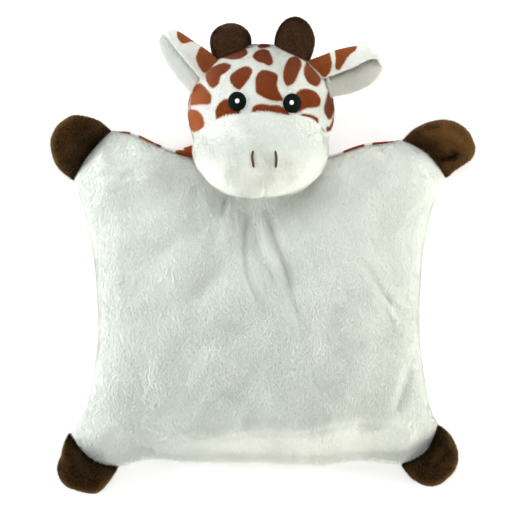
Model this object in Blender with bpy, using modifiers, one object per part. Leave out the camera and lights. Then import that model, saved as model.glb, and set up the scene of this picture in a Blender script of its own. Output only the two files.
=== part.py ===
"""A giraffe comfort cushion: a flat stuffed cushion with four paws and a stuffed giraffe head.

The toy lies on its back on a table with its face up. +Z is up, +Y runs towards the head, and +X
is to the right of someone who looks down on the face. The origin is on the table, under the
middle of the cushion. Lengths are metres and angles are degrees.
"""
import math

import bmesh
import bpy
import numpy as np
from mathutils import Matrix, Vector

# Cloth, seams and clearances
PLUSH = 0.0020
EAR_CLOTH = 0.0015
SEAM_GAP = 0.0005
FILL_GAP = 0.0008
SEAT_GAP = 0.0003
FLAT_DEPTH = 0.0005
MERGE_DISTANCE = 0.00005
EDGE_INSET = 0.0014

# Cushion: plan size, and heights above the table
BODY_HALF_WIDTH = 0.1240
BODY_HALF_LENGTH = 0.1220
BODY_CROWN_HEIGHT = 0.0440
SIDE_SEAM_HEIGHT = 0.0150
CORNER_SEAM_HEIGHT = 0.0095
NECK_SEAM_HEIGHT = 0.0180
HEM_SEAM_HEIGHT = 0.0060

# Hollow under the chin and the two pleats that run down from it
NECK_HOLLOW_HALF_WIDTH = 0.0640
NECK_HOLLOW_LENGTH = 0.0450
NECK_RIM_HALF_WIDTH = 0.0620
NECK_RIM_LENGTH = 0.0300
PLEAT_DEPTH = 0.0042
PLEAT_HALF_WIDTH = 0.0080

# Sewn seams that act as hinges
PAW_SEAM_RADIUS = 0.0015
NECK_SEAM_RADIUS = 0.0020
EAR_SEAM_RADIUS = 0.0015
SEAM_INSET = 0.0037
PAW_INSET = 0.0031
NECK_SEAM_HALF_LENGTH = 0.0260

# Paws
PAW_LENGTH = 0.0315
PAW_RISE = 0.0100
PAW_DROP = 0.0080

# Head: the skull is round above its middle and squarer towards the chin
SKULL_HALF_WIDTH = 0.0553
SKULL_TOP_LENGTH = 0.0520
SKULL_CHIN_LENGTH = 0.0640
SKULL_FRONT_DEPTH = 0.0435
SKULL_BACK_DEPTH = 0.0420
SKULL_AHEAD_OF_NECK = 0.0313
HEAD_OFF_CENTRE = 0.0008
MUZZLE_SIDE_INSET = 0.0053
MUZZLE_HALF_LENGTH = 0.0370
MUZZLE_HALF_DEPTH = 0.0360
MUZZLE_BELOW_SKULL = 0.0265
MUZZLE_BEFORE_SKULL = 0.0165
HEAD_CORE_BELOW_SKULL = 0.0130
HEAD_CORE_BEFORE_SKULL = 0.0045
NECK_DENT_RADIUS = 0.0020
FILLING_DENT_RADIUS = 0.0095
HEAD_FILL_GAP = 0.0016

# Horns, ears, eyes and nostrils
HORN_RADIUS = 0.0146
HORN_HEIGHT = 0.0262
HORN_SHOULDER_HEIGHT = 0.0070
HORN_ROOT_DEPTH = 0.0070
EAR_LENGTH = 0.0420
EAR_HALF_WIDTH = 0.0165
EAR_ROOT_HALF_WIDTH = 0.0130
EYE_RADIUS = 0.0065
EYE_THICKNESS = 0.0012
EYE_HIGHLIGHT_RADIUS = 0.0023
EYE_HIGHLIGHT_THICKNESS = 0.0008
NOSTRIL_LENGTH = 0.0124
NOSTRIL_RADIUS = 0.0008

# Angles
HEAD_CHIN_CLEARANCE_ANGLE = 44.0
HEAD_NAPE_CLEARANCE_ANGLE = 108.0
CROWN_SEAM_ANGLE = 20.0
TOP_SEAM_ANGLE = 112.0
UNDER_SEAM_ANGLE = 235.0
CHEEK_ANGLE = 89.0
EAR_FOLD_ANGLE = 165.0
EAR_TROUGH_ANGLE = 24.0
QUARTER_TURN_ANGLE = 90.0

# Grid counts
BODY_CELLS = 24
FILLING_CELLS = 14
CORNER_CELLS = 2
PAW_COLUMNS = 8
PAW_ROWS = 6
EAR_COLUMNS = 12
EAR_ROWS = 7
NOSTRIL_STEPS = 6
HORN_STEPS = 6
CURVE_STEPS = 8
SEARCH_STEPS = 40
HEAD_COLUMNS = 16
CROWN_ROWS = 10
MUZZLE_ROWS = 13
NAPE_ROWS = 12

# Corner seams, clockwise from the upper left, as shares of the cushion's half width and length.
# Each runs clockwise, so that its paw lies on its left.
corner_seam_shares = {
    "upper_left": ((-1.132, 0.770), (-0.907, 1.071)),
    "upper_right": ((0.864, 1.017), (1.125, 0.791)),
    "lower_right": ((1.080, -0.736), (0.863, -0.984)),
    "lower_left": ((-0.856, -0.998), (-1.146, -0.798)),
}

# Points that the drawn-in sides pass through between those seams, clockwise too
neck_edge_share = 0.902
side_shares = {
    "top": ((-0.798, 1.059), (-0.611, 0.981), (-0.406, 0.912), (-0.202, neck_edge_share),
            (0.202, neck_edge_share), (0.415, 0.914), (0.628, 0.984)),
    "right": ((1.065, 0.645), (1.014, 0.455), (0.976, 0.086), (0.974, -0.213), (1.004, -0.460),
              (1.040, -0.640)),
    "bottom": ((0.605, -0.963), (0.403, -0.984), (0.0, -0.975), (-0.398, -0.970), (-0.685, -0.953)),
    "left": ((-1.083, -0.695), (-1.012, -0.400), (-0.984, -0.164), (-0.988, 0.000), (-1.016, 0.314),
             (-1.077, 0.596)),
}

# How full each surface is: a power and a root for the crown, and where the stuffing ends
crown_shares = (2.2, 0.60)
underside_shares = (6.0, 0.60)
underside_drop_share = 1.30
hem_shares = {"rise": 0.25, "outer": 0.93, "inner": 0.76, "lift": 0.70}
neck_hollow_share = 0.50
neck_rim_power_share = 4.0
corner_level_shares = (0.50, 0.79)
filling_margin_share = 0.09

# Pleats: where each starts and ends, and its depth. Two run down from the chin, one crosses the
# right side and one dents the lower right. Then how each fades along itself and at the edge.
pleat_shares = (((-0.104, 0.640), (-0.012, -0.010), 0.70), ((0.010, 0.640), (0.264, -0.172), 1.00),
                ((0.611, 0.270), (0.835, -0.154), 0.45), ((0.913, -0.338), (0.817, -0.676), 0.60))
pleat_fade_shares = ((-0.35, 0.10), (1.15, 0.70))
pleat_edge_shares = (2.0, 1.0)

# Each paw: length, lean along its seam, and squareness, as shares
paw_shares = {
    "upper_left": (0.97, 0.04, 0.43),
    "upper_right": (1.12, 0.25, 0.45),
    "lower_right": (0.97, 0.08, 0.45),
    "lower_left": (0.95, -0.08, 0.38),
}
paw_width_share = 1.03
paw_crown_shares = (2.4, 2.6, 0.55)

# Head: how square the skull's outline is, and how sharply its two forms meet
skull_power_shares = {"chin": 2.5, "top": 2.0}
blend_share = 30.0

# Horns and eyes: place on the face as shares of the skull's half width and top length, from the
# skull's middle, and a horn's height and lean as shares of its own height
horn_shares = {"left": (-0.396, 0.930, 0.78, -0.08), "right": (0.450, 0.930, 0.97, 0.09)}
horn_root_share = 0.93
horn_tilt_share = 0.12
eye_shares = {"left": (-0.324, 0.194), "right": (0.417, 0.173)}
eye_rim_share = 0.4
nostril_shares = {"left": (-0.112, -0.590), "right": (0.195, -0.590)}

# Ears: direction of the root from the head's core, the way that the ear points from it, its
# length, and which side of it the upper edge lies on
ear_shares = {"left": ((-0.731, 0.682, 0.02), (-0.66, 0.75, 0.10), 1.0, 1),
              "right": ((0.760, 0.650, 0.02), (0.975, 0.195, 0.10), 0.94, -1)}
ear_taper_share = 0.66
ear_tip_share = 0.32
ear_swell_share = 0.5

# The lip: the part of the cloth that turns over, where the fold opens along the ear, and how much
# less it turns at the tip
ear_lip_shares = (0.56, 0.76)
ear_open_shares = (0.15, 0.50)
ear_tip_fold_shares = (0.60, 0.45)

cloth_roughness_share = 0.9
COLOURS = {
    "white plush": (0.80, 0.83, 0.79),
    "spotted plush": (0.62, 0.36, 0.24),
    "brown plush": (0.13, 0.075, 0.035),
    "dark brown plush": (0.055, 0.032, 0.022),
    "polyester filling": (0.90, 0.90, 0.88),
    "black thread": (0.012, 0.018, 0.016),
    "white thread": (0.90, 0.90, 0.88),
    "brown thread": (0.10, 0.06, 0.04),
}


def clear_scene():
    """Remove whatever the open file holds."""
    for obj in list(bpy.data.objects):
        bpy.data.objects.remove(obj)


def collection(name):
    """A new collection in the scene."""
    made = bpy.data.collections.new(name)
    bpy.context.scene.collection.children.link(made)
    return made


def material(name):
    """A plain cloth or thread finish, made once for each colour's name."""
    made = bpy.data.materials.get(name)
    if made is None:
        made = bpy.data.materials.new(name)
        made.use_nodes = True
        shader = made.node_tree.nodes["Principled BSDF"]
        shader.inputs["Base Color"].default_value = (*COLOURS[name], 1.0)
        shader.inputs["Roughness"].default_value = cloth_roughness_share
        shader.inputs["Metallic"].default_value = 0.0
        made.diffuse_color = (*COLOURS[name], 1.0)
    return made


clear_scene()
PARTS = collection("giraffe_comfort_cushion")
CUTTERS = collection("cutters")


def smooth_step(low, high, value):
    """0 up to low, 1 from high on, and an even S between them."""
    share = np.clip((value - low) / (high - low), 0.0, 1.0)
    return share * share * (3.0 - 2.0 * share)


def grid_faces(rows, columns):
    """Quads over a grid of points numbered row by row, facing +Z where rows run along +Y."""
    first = (np.arange(rows - 1)[:, None] * columns + np.arange(columns - 1)).reshape(-1)
    return np.stack((first, first + 1, first + columns + 1, first + columns), axis=-1)


def add_object(name, points, faces, finish, parent=None, group=PARTS):
    """A smooth mesh object from points in its parent's frame."""
    mesh = bpy.data.meshes.new(name)
    mesh.from_pydata(np.asarray(points).reshape(-1, 3).tolist(), [], [list(map(int, f)) for f in faces])
    mesh.shade_smooth()
    obj = bpy.data.objects.new(name, mesh)
    group.objects.link(obj)
    obj.parent = parent
    if finish:
        mesh.materials.append(material(finish))
    return obj


def add_bmesh(name, shape, finish, parent=None, group=PARTS):
    """An object from a bmesh shape, which it frees."""
    mesh = bpy.data.meshes.new(name)
    shape.to_mesh(mesh)
    shape.free()
    mesh.shade_smooth()
    obj = bpy.data.objects.new(name, mesh)
    group.objects.link(obj)
    obj.parent = parent
    if finish:
        mesh.materials.append(material(finish))
    return obj


def hinge_frame(name, origin, along, outward, parent=None):
    """An empty whose X lies on a hinge's axis and whose Y points from it into the moving piece."""
    along = Vector(along).normalized()
    normal = along.cross(Vector(outward)).normalized()
    across = normal.cross(along)
    empty = bpy.data.objects.new(name, None)
    PARTS.objects.link(empty)
    placed = Matrix((along, across, normal)).transposed().to_4x4()
    placed.translation = origin
    empty.parent = parent
    if parent is not None:
        placed = parent.matrix_world.inverted() @ placed
    empty.matrix_local = placed
    bpy.context.view_layer.update()
    return empty


def cloth_shell(name, points, thickness, outward, finish, parent=None, faces_up=True, split=False):
    """A cloth panel: an open grid given its thickness on one side.

    outward is 1 where the cloth lies outside the grid and -1 where it lies inside it. Split cells
    are cut along the same diagonal, so that two curled cloths keep the gap between them.
    """
    faces = grid_faces(points.shape[0], points.shape[1])
    if split:
        faces = np.concatenate((faces[:, :3], faces[:, (0, 2, 3)]))
    if not faces_up:
        faces = faces[:, ::-1]
    obj = add_object(name, points, faces, finish, parent)
    solidify = obj.modifiers.new("cloth thickness", "SOLIDIFY")
    solidify.thickness = thickness
    solidify.offset = outward
    return obj


def pillow(name, top, bottom, finish, parent=None):
    """A closed filling between two grids of the same size, walled round their edges."""
    rows, columns = top.shape[:2]
    index = np.arange(rows * columns).reshape(rows, columns)
    loop = np.concatenate((index[0, :-1], index[:-1, -1], index[-1, :0:-1], index[:0:-1, 0]))
    following = np.roll(loop, -1)
    upper = grid_faces(rows, columns)
    lower = upper[:, ::-1] + rows * columns
    wall = np.stack((loop + rows * columns, following + rows * columns, following, loop), axis=-1)
    points = np.concatenate((top.reshape(-1, 3), bottom.reshape(-1, 3)))
    return add_object(name, points, np.concatenate((upper, lower, wall)), finish, parent)


def seam_roll(name, radius, half_length, finish, parent, sides=12):
    """A sewn seam's rolled allowance: a thin cylinder along the hinge frame's X."""
    shape = bmesh.new()
    lying = Matrix.Rotation(math.radians(QUARTER_TURN_ANGLE), 4, "Y")
    bmesh.ops.create_cone(shape, cap_ends=True, segments=sides, radius1=radius, radius2=radius,
                          depth=2.0 * half_length, matrix=lying)
    return add_bmesh(name, shape, finish, parent)


def cut(obj, cutter):
    """Take the cutter's space out of an object."""
    boolean = obj.modifiers.new("cut by " + cutter.name, "BOOLEAN")
    boolean.operation = "DIFFERENCE"
    boolean.solver = "EXACT"
    boolean.object = cutter


def hide_cutter(cutter):
    """Show a cutter as a wire and keep it out of the model."""
    cutter.hide_render = True
    cutter.display_type = "WIRE"


# Cushion

BODY_HALF = np.array((BODY_HALF_WIDTH, BODY_HALF_LENGTH))
NECK_Y = neck_edge_share * BODY_HALF_LENGTH - EDGE_INSET + SEAM_INSET


def corner_seam(corner):
    """A corner seam's ends, its direction and the way out of the cushion, in plan."""
    start, end = (np.array(share) * BODY_HALF for share in corner_seam_shares[corner])
    along = (end - start) / np.linalg.norm(end - start)
    return start, end, along, np.array((-along[1], along[0]))


def smooth_side(points, cells):
    """A Catmull-Rom curve through the points, as cells + 1 points evenly spaced along it."""
    points = np.array(points)
    padded = np.concatenate((2.0 * points[:1] - points[1:2], points, 2.0 * points[-1:] - points[-2:-1]))
    share = np.linspace(0.0, 1.0, CURVE_STEPS + 1)[:-1, None]
    spans = []
    for before, start, end, after in zip(padded, padded[1:], padded[2:], padded[3:]):
        spans.append(0.5 * (2.0 * start + (end - before) * share
                            + (2.0 * before - 5.0 * start + 4.0 * end - after) * share ** 2
                            + (3.0 * start - before - 3.0 * end + after) * share ** 3))
    curve = np.concatenate(spans + [points[-1:]])
    run = np.concatenate(((0.0,), np.cumsum(np.linalg.norm(np.diff(curve, axis=0), axis=1))))
    at = np.linspace(0.0, run[-1], cells + 1)
    return np.stack([np.interp(at, run, curve[:, axis]) for axis in range(2)], axis=-1)


def cushion_edge(side, before, after, inward):
    """One side of the cushion's grid, from the middle of one corner seam to the next one's."""
    start, end, _, out = corner_seam(before)
    first = np.linspace((start + end) / 2.0, end, CORNER_CELLS + 1) - out * SEAM_INSET
    start, end, _, out = corner_seam(after)
    last = np.linspace(start, (start + end) / 2.0, CORNER_CELLS + 1) - out * SEAM_INSET
    through = np.array(side_shares[side]) * BODY_HALF + np.array(inward) * EDGE_INSET
    middle = smooth_side([first[-1], *through, last[0]], BODY_CELLS - 2 * CORNER_CELLS)
    return np.concatenate((first[:-1], middle, last[1:]))


def cushion_plan(shares):
    """Plan points of the cushion at a grid of shares from 0 to 1: a Coons patch of its sides."""
    top = cushion_edge("top", "upper_left", "upper_right", (0.0, -1.0))
    right = cushion_edge("right", "upper_right", "lower_right", (-1.0, 0.0))[::-1]
    bottom = cushion_edge("bottom", "lower_right", "lower_left", (0.0, 1.0))[::-1]
    left = cushion_edge("left", "lower_left", "upper_left", (1.0, 0.0))
    across = shares[None, :, None]
    up = shares[:, None, None]
    corners = ((1 - up) * (1 - across) * bottom[0] + (1 - up) * across * bottom[-1]
               + up * (1 - across) * top[0] + up * across * top[-1])
    at = np.linspace(0.0, 1.0, BODY_CELLS + 1)
    top, right, bottom, left = (
        np.stack([np.interp(shares, at, edge[:, axis]) for axis in range(2)], axis=-1)
        for edge in (top, right, bottom, left))
    ruled = (1 - up) * bottom[None] + up * top[None] + (1 - across) * left[:, None] + across * right[:, None]
    return ruled - corners


def fullness(across, up, shares):
    """1 in the middle of the cushion and 0 on its seam."""
    power, root = shares
    return ((1.0 - np.abs(across) ** power) * (1.0 - np.abs(up) ** power)).clip(0.0) ** root


def near_neck(plan, half_width, length, power=2.0):
    """1 at the middle of the neck, fading to the sides and down the cushion."""
    sideways = np.abs(plan[..., 0] / half_width) ** power
    down = np.abs((NECK_Y - plan[..., 1]) / length) ** 2.0
    return np.exp(-sideways - down)


def seam_height(plan, across, up):
    """Height of the seam's level: low at the corners and the hem, and raised at the neck."""
    corner = smooth_step(*corner_level_shares, np.abs(across * up))
    hem = smooth_step(hem_shares["lift"], 1.0, -up)
    level = SIDE_SEAM_HEIGHT + (HEM_SEAM_HEIGHT - SIDE_SEAM_HEIGHT) * hem
    raised = near_neck(plan, NECK_RIM_HALF_WIDTH, NECK_RIM_LENGTH, neck_rim_power_share)
    level = level + (NECK_SEAM_HEIGHT - SIDE_SEAM_HEIGHT) * raised
    return level + (CORNER_SEAM_HEIGHT - level) * corner


def pleats(plan):
    """Depth of the pleats: round valleys along straight lines that fade out at their foot."""
    depth = np.zeros(plan.shape[:2])
    for head, foot, depth_share in pleat_shares:
        head, foot = np.array(head) * BODY_HALF, np.array(foot) * BODY_HALF
        run = foot - head
        share = ((plan - head) @ run) / (run @ run)
        offset = plan - head - share[..., None] * run
        valley = np.exp(-(np.linalg.norm(offset, axis=-1) / PLEAT_HALF_WIDTH) ** 2.0)
        fade_in, fade_out = (smooth_step(*ends, share) for ends in pleat_fade_shares)
        depth += PLEAT_DEPTH * depth_share * valley * fade_in * fade_out
    return depth


def cushion_front(plan, across, up):
    """Inner side of the front panel: a crown that ends at a flat hem and dips under the chin."""
    rise = BODY_CROWN_HEIGHT - SIDE_SEAM_HEIGHT - PLUSH
    hem = smooth_step(-hem_shares["outer"], -hem_shares["inner"], up)
    hem = hem_shares["rise"] + (1.0 - hem_shares["rise"]) * hem
    hollow = 1.0 - neck_hollow_share * near_neck(plan, NECK_HOLLOW_HALF_WIDTH, NECK_HOLLOW_LENGTH)
    return seam_height(plan, across, up) + rise * fullness(across, up, crown_shares) * hem * hollow


def cushion_back(plan, across, up):
    """Inner side of the back panel: it drops from the seam and lies flat on the table."""
    level = seam_height(plan, across, up)
    drop = level * underside_drop_share * fullness(across, up, underside_shares)
    return np.maximum(level - SEAM_GAP / 2.0 - drop, PLUSH)


def cushion_grid(cells, margin=0.0):
    """Plan points of a cushion grid, with the place of each between -1 and 1 both ways."""
    shares = np.linspace(margin, 1.0 - margin, cells + 1)
    plan = cushion_plan(shares)
    across, up = np.meshgrid(2.0 * shares - 1.0, 2.0 * shares - 1.0)
    return plan, across, up


def with_height(plan, height):
    """Plan points and heights as points in space."""
    return np.concatenate((plan, height[..., None]), axis=-1)


def build_cushion():
    """Front panel, back panel and filling."""
    plan, across, up = cushion_grid(BODY_CELLS)
    folds = pleats(plan) * fullness(across, up, pleat_edge_shares)
    height = cushion_front(plan, across, up) + SEAM_GAP / 2.0 - folds
    cloth_shell("body_front_panel", with_height(plan, height), PLUSH, 1.0, "white plush")
    plan, across, up = cushion_grid(BODY_CELLS)
    cloth_shell("body_back_panel", with_height(plan, cushion_back(plan, across, up)), PLUSH, 1.0,
                "spotted plush", faces_up=False)
    plan, across, up = cushion_grid(FILLING_CELLS, filling_margin_share)
    bottom = cushion_back(plan, across, up) + FILL_GAP
    top = np.maximum(cushion_front(plan, across, up) - PLEAT_DEPTH - FILL_GAP, bottom + FILL_GAP)
    pillow("body_filling", with_height(plan, top), with_height(plan, bottom), "polyester filling")


# Paws

def paw_grid(half_width, length, lean, squareness):
    """A half round plan, flat on the seam, with each point's place across and out.

    The square from -1 to 1 across and 0 to 1 out is drawn onto the half round: each way is
    shortened as the other grows, by the root of 1 less the squareness times its square.
    """
    across, out = np.meshgrid(np.linspace(-1.0, 1.0, PAW_COLUMNS + 1), np.linspace(0.0, 1.0, PAW_ROWS + 1))
    y = length * out * np.sqrt(1.0 - squareness * across ** 2)
    x = half_width * across * np.sqrt(1.0 - squareness * out ** 2) + lean * y
    return x, y, across, out


def paw_fullness(across, out):
    """0 on the paw's edge and on its seam, and 1 in its middle."""
    across_power, out_power, root = paw_crown_shares
    sides = 1.0 - np.abs(across) ** across_power
    ends = 1.0 - np.abs(2.0 * out - 1.0) ** out_power
    return (sides * ends).clip(0.0) ** root


def build_paw(corner):
    """One paw in its own hinge frame: front and back panels, filling and the seam that it folds on."""
    start, end, along, out = corner_seam(corner)
    length_share, lean, squareness = paw_shares[corner]
    half_width = np.linalg.norm(end - start) / 2.0
    middle = (*((start + end) / 2.0), CORNER_SEAM_HEIGHT)
    frame = hinge_frame(corner + "_paw_hinge", middle, (*along, 0.0), (*out, 0.0))
    length = PAW_LENGTH * length_share - PAW_INSET
    sizes = (half_width * paw_width_share, length, lean, squareness)
    floor = PLUSH - CORNER_SEAM_HEIGHT

    x, y, across, away = paw_grid(*sizes)
    full = paw_fullness(across, away)
    y = y + PAW_INSET
    top = np.stack((x, y, SEAM_GAP / 2.0 + PAW_RISE * full), axis=-1)
    bottom = np.stack((x, y, np.maximum(-SEAM_GAP / 2.0 - PAW_DROP * full, floor)), axis=-1)
    cloth_shell(corner + "_paw_front_panel", top, PLUSH, 1.0, "brown plush", frame)
    cloth_shell(corner + "_paw_back_panel", bottom, PLUSH, 1.0, "brown plush", frame, faces_up=False)

    inset = np.array((0.0, 0.0, FILL_GAP))
    pillow(corner + "_paw_filling", top[1:-1, 1:-1] - inset, bottom[1:-1, 1:-1] + inset,
           "polyester filling", frame)
    seam_roll(corner + "_paw_seam", PAW_SEAM_RADIUS, half_width - PAW_SEAM_RADIUS, "brown thread", frame)


# Head

NECK = np.array((0.0, NECK_Y, NECK_SEAM_HEIGHT))
SKULL = np.array((HEAD_OFF_CENTRE, NECK_Y + SKULL_AHEAD_OF_NECK, SKULL_BACK_DEPTH - FLAT_DEPTH))
MUZZLE = SKULL + np.array((-HEAD_OFF_CENTRE, -MUZZLE_BELOW_SKULL, MUZZLE_BEFORE_SKULL))
CORE = SKULL + np.array((0.0, -HEAD_CORE_BELOW_SKULL, HEAD_CORE_BEFORE_SKULL))
MUZZLE_HALF = np.array((SKULL_HALF_WIDTH - MUZZLE_SIDE_INSET, MUZZLE_HALF_LENGTH, MUZZLE_HALF_DEPTH))


def neck_distance(points):
    """Distance from the wedge of space that the cushion's neck edge turns in, seen from the side.

    The wedge opens towards the cushion from the neck's hinge line. Its upper face rises by the
    chin's clearance angle and its lower face falls by the nape's.
    """
    y, z = points[..., 1] - NECK[1], points[..., 2] - NECK[2]
    distances = []
    for angle, side in ((HEAD_CHIN_CLEARANCE_ANGLE, 1.0), (HEAD_NAPE_CLEARANCE_ANGLE, -1.0)):
        run = -y * math.cos(math.radians(angle)) + side * z * math.sin(math.radians(angle))
        off = y * math.sin(math.radians(angle)) + side * z * math.cos(math.radians(angle))
        distances.append(np.where(run > 0.0, off, np.hypot(y, z) * np.sign(off)))
    return np.maximum(*distances)


def head_field(points, dent=NECK_DENT_RADIUS):
    """1 on the head's surface and less inside it: a skull and a muzzle, run together smoothly,
    less the wedge of space at the neck."""
    x, y, z = np.moveaxis(points - SKULL, -1, 0)
    towards_chin = y < 0.0
    length = np.where(towards_chin, SKULL_CHIN_LENGTH, SKULL_TOP_LENGTH)
    power = np.where(towards_chin, skull_power_shares["chin"], skull_power_shares["top"])
    plan = (np.abs(x / SKULL_HALF_WIDTH) ** power + np.abs(y / length) ** power) ** (2.0 / power)
    depth = z / np.where(z > 0.0, SKULL_FRONT_DEPTH, SKULL_BACK_DEPTH)
    skull = np.sqrt(plan + depth ** 2)
    muzzle = np.linalg.norm((points - MUZZLE) / MUZZLE_HALF, axis=-1)
    form = -np.logaddexp(-blend_share * skull, -blend_share * muzzle) / blend_share
    wedge = 1.0 + (dent - neck_distance(points)) / SKULL_HALF_WIDTH
    return np.logaddexp(blend_share * form, blend_share * wedge) / blend_share


def head_points(directions, offset=0.0, floor=0.0, dent=NECK_DENT_RADIUS):
    """Points on the head's surface along directions from its core, moved out by an offset."""
    near = np.zeros(directions.shape[:-1])
    far = np.full(directions.shape[:-1], 2.0 * SKULL_CHIN_LENGTH)
    for _ in range(SEARCH_STEPS):
        middle = (near + far) / 2.0
        inside = head_field(CORE + directions * middle[..., None], dent) < 1.0
        near = np.where(inside, middle, near)
        far = np.where(inside, far, middle)
    points = CORE + directions * (near + offset)[..., None]
    points[..., 2] = np.maximum(points[..., 2], floor)
    return points


def head_direction(turn, lean):
    """A direction from the core: turn from +Z towards +Y about X, and lean towards +X."""
    turn, lean = np.broadcast_arrays(np.radians(turn), np.radians(lean))
    return np.stack((np.sin(lean), np.cos(lean) * np.sin(turn), np.cos(lean) * np.cos(turn)), axis=-1)


def head_panel_points(start, end, rows):
    """A panel from one seam to the next, each seam a plane through the cheeks, less half a gap."""
    lean = np.linspace(-CHEEK_ANGLE, CHEEK_ANGLE, HEAD_COLUMNS + 1)
    seam_radius = SKULL_BACK_DEPTH * np.cos(np.radians(lean))
    half_gap = np.degrees(SEAM_GAP / 2.0 / seam_radius)
    share = np.linspace(0.0, 1.0, rows + 1)[:, None]
    turn = (start + half_gap) + (end - start - 2.0 * half_gap) * share
    return head_points(head_direction(turn, lean[None, :]))


def face_point(place):
    """The surface point and outward normal where a line along Z meets the face."""
    x, y = SKULL[0] + place[0] * SKULL_HALF_WIDTH, SKULL[1] + place[1] * SKULL_TOP_LENGTH
    low, high = SKULL[2], SKULL[2] + 2.0 * SKULL_FRONT_DEPTH
    for _ in range(SEARCH_STEPS):
        middle = (low + high) / 2.0
        if head_field(np.array((x, y, middle))) < 1.0:
            low = middle
        else:
            high = middle
    point = np.array((x, y, low))
    return point, surface_normal(point)


def surface_normal(point):
    """Outward normal of the head at a point, from the field's slope over a seam gap."""
    slope = [head_field(point + step) - head_field(point - step) for step in np.eye(3) * SEAM_GAP]
    return np.array(slope) / np.linalg.norm(slope)


def build_head_cutters(frame):
    """The head's own form, a seat gap larger, and the round groove for the neck's seam."""
    turns = np.concatenate((
        np.linspace(CROWN_SEAM_ANGLE, TOP_SEAM_ANGLE, CROWN_ROWS + 1)[:-1],
        np.linspace(TOP_SEAM_ANGLE, UNDER_SEAM_ANGLE, NAPE_ROWS + 1)[:-1],
        np.linspace(UNDER_SEAM_ANGLE, CROWN_SEAM_ANGLE + 360.0, MUZZLE_ROWS + 1)[:-1]))
    lean = np.linspace(-CHEEK_ANGLE, CHEEK_ANGLE, HEAD_COLUMNS + 1)
    ring = head_points(head_direction(turns[:, None], lean[None, :]), SEAT_GAP)
    rows, columns = ring.shape[:2]
    closed = np.concatenate((ring, ring[:1])).reshape(-1, 3)
    faces = (grid_faces(rows + 1, columns) % (rows * columns)).tolist()
    faces.append([row * columns for row in range(rows)])
    faces.append([row * columns + columns - 1 for row in range(rows - 1, -1, -1)])
    form = add_object("head_form_cutter", closed[:rows * columns] - NECK, faces, None, frame, CUTTERS)
    shape = bmesh.new()
    bmesh.ops.create_cone(shape, cap_ends=True, segments=24, radius1=NECK_SEAM_RADIUS + SEAT_GAP,
                          radius2=NECK_SEAM_RADIUS + SEAT_GAP, depth=2.0 * SKULL_HALF_WIDTH,
                          matrix=Matrix.Rotation(math.radians(QUARTER_TURN_ANGLE), 4, "Y"))
    groove = add_bmesh("neck_groove_cutter", shape, None, frame, CUTTERS)
    hide_cutter(form)
    hide_cutter(groove)
    return form, groove


def build_head(frame, groove):
    """Crown, muzzle and nape panels, the filling inside them, and the neck's seam."""
    crown = head_panel_points(CROWN_SEAM_ANGLE, TOP_SEAM_ANGLE, CROWN_ROWS) - NECK
    cloth_shell("head_crown_panel", crown, PLUSH, -1.0, "spotted plush", frame)
    nape = head_panel_points(TOP_SEAM_ANGLE, UNDER_SEAM_ANGLE, NAPE_ROWS) - NECK
    back = cloth_shell("head_back_panel", nape, PLUSH, -1.0, "spotted plush", frame)
    cut(back, groove)
    muzzle = head_panel_points(UNDER_SEAM_ANGLE, CROWN_SEAM_ANGLE + 360.0, MUZZLE_ROWS) - NECK
    cloth_shell("head_muzzle_panel", muzzle, PLUSH, -1.0, "white plush", frame)
    shape = bmesh.new()
    bmesh.ops.create_uvsphere(shape, u_segments=20, v_segments=12, radius=1.0)
    directions = np.array([vert.co.normalized() for vert in shape.verts])
    inner = PLUSH + HEAD_FILL_GAP
    points = head_points(directions, -inner, inner, FILLING_DENT_RADIUS) - NECK
    for vert, point in zip(shape.verts, points):
        vert.co = point
    add_bmesh("head_filling", shape, "polyester filling", frame)
    seam_roll("neck_seam", NECK_SEAM_RADIUS, NECK_SEAM_HALF_LENGTH, "white thread", frame)


def turned(name, profile, finish, parent, steps=16):
    """A profile at +X, listed from top to bottom, turned once about Z."""
    edges = [(step, step + 1) for step in range(len(profile) - 1)]
    mesh = bpy.data.meshes.new(name)
    mesh.from_pydata([(x, 0.0, z) for x, z in profile], edges, [])
    mesh.materials.append(material(finish))
    obj = bpy.data.objects.new(name, mesh)
    PARTS.objects.link(obj)
    obj.parent = parent
    screw = obj.modifiers.new("turn", "SCREW")
    screw.axis = "Z"
    screw.steps = steps
    screw.render_steps = steps
    screw.use_merge_vertices = True
    screw.merge_threshold = MERGE_DISTANCE
    screw.use_smooth_shade = True
    return obj


def dome_profile(radius, height, shoulder, root_radius, root_depth):
    """A quarter ellipse from the top to the shoulder, then a straight side down to the root."""
    turns = [math.radians(QUARTER_TURN_ANGLE * step / HORN_STEPS) for step in range(HORN_STEPS + 1)]
    quarter = [(radius * math.sin(turn), shoulder + (height - shoulder) * math.cos(turn)) for turn in turns]
    return quarter + [(root_radius, -root_depth)]


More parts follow.
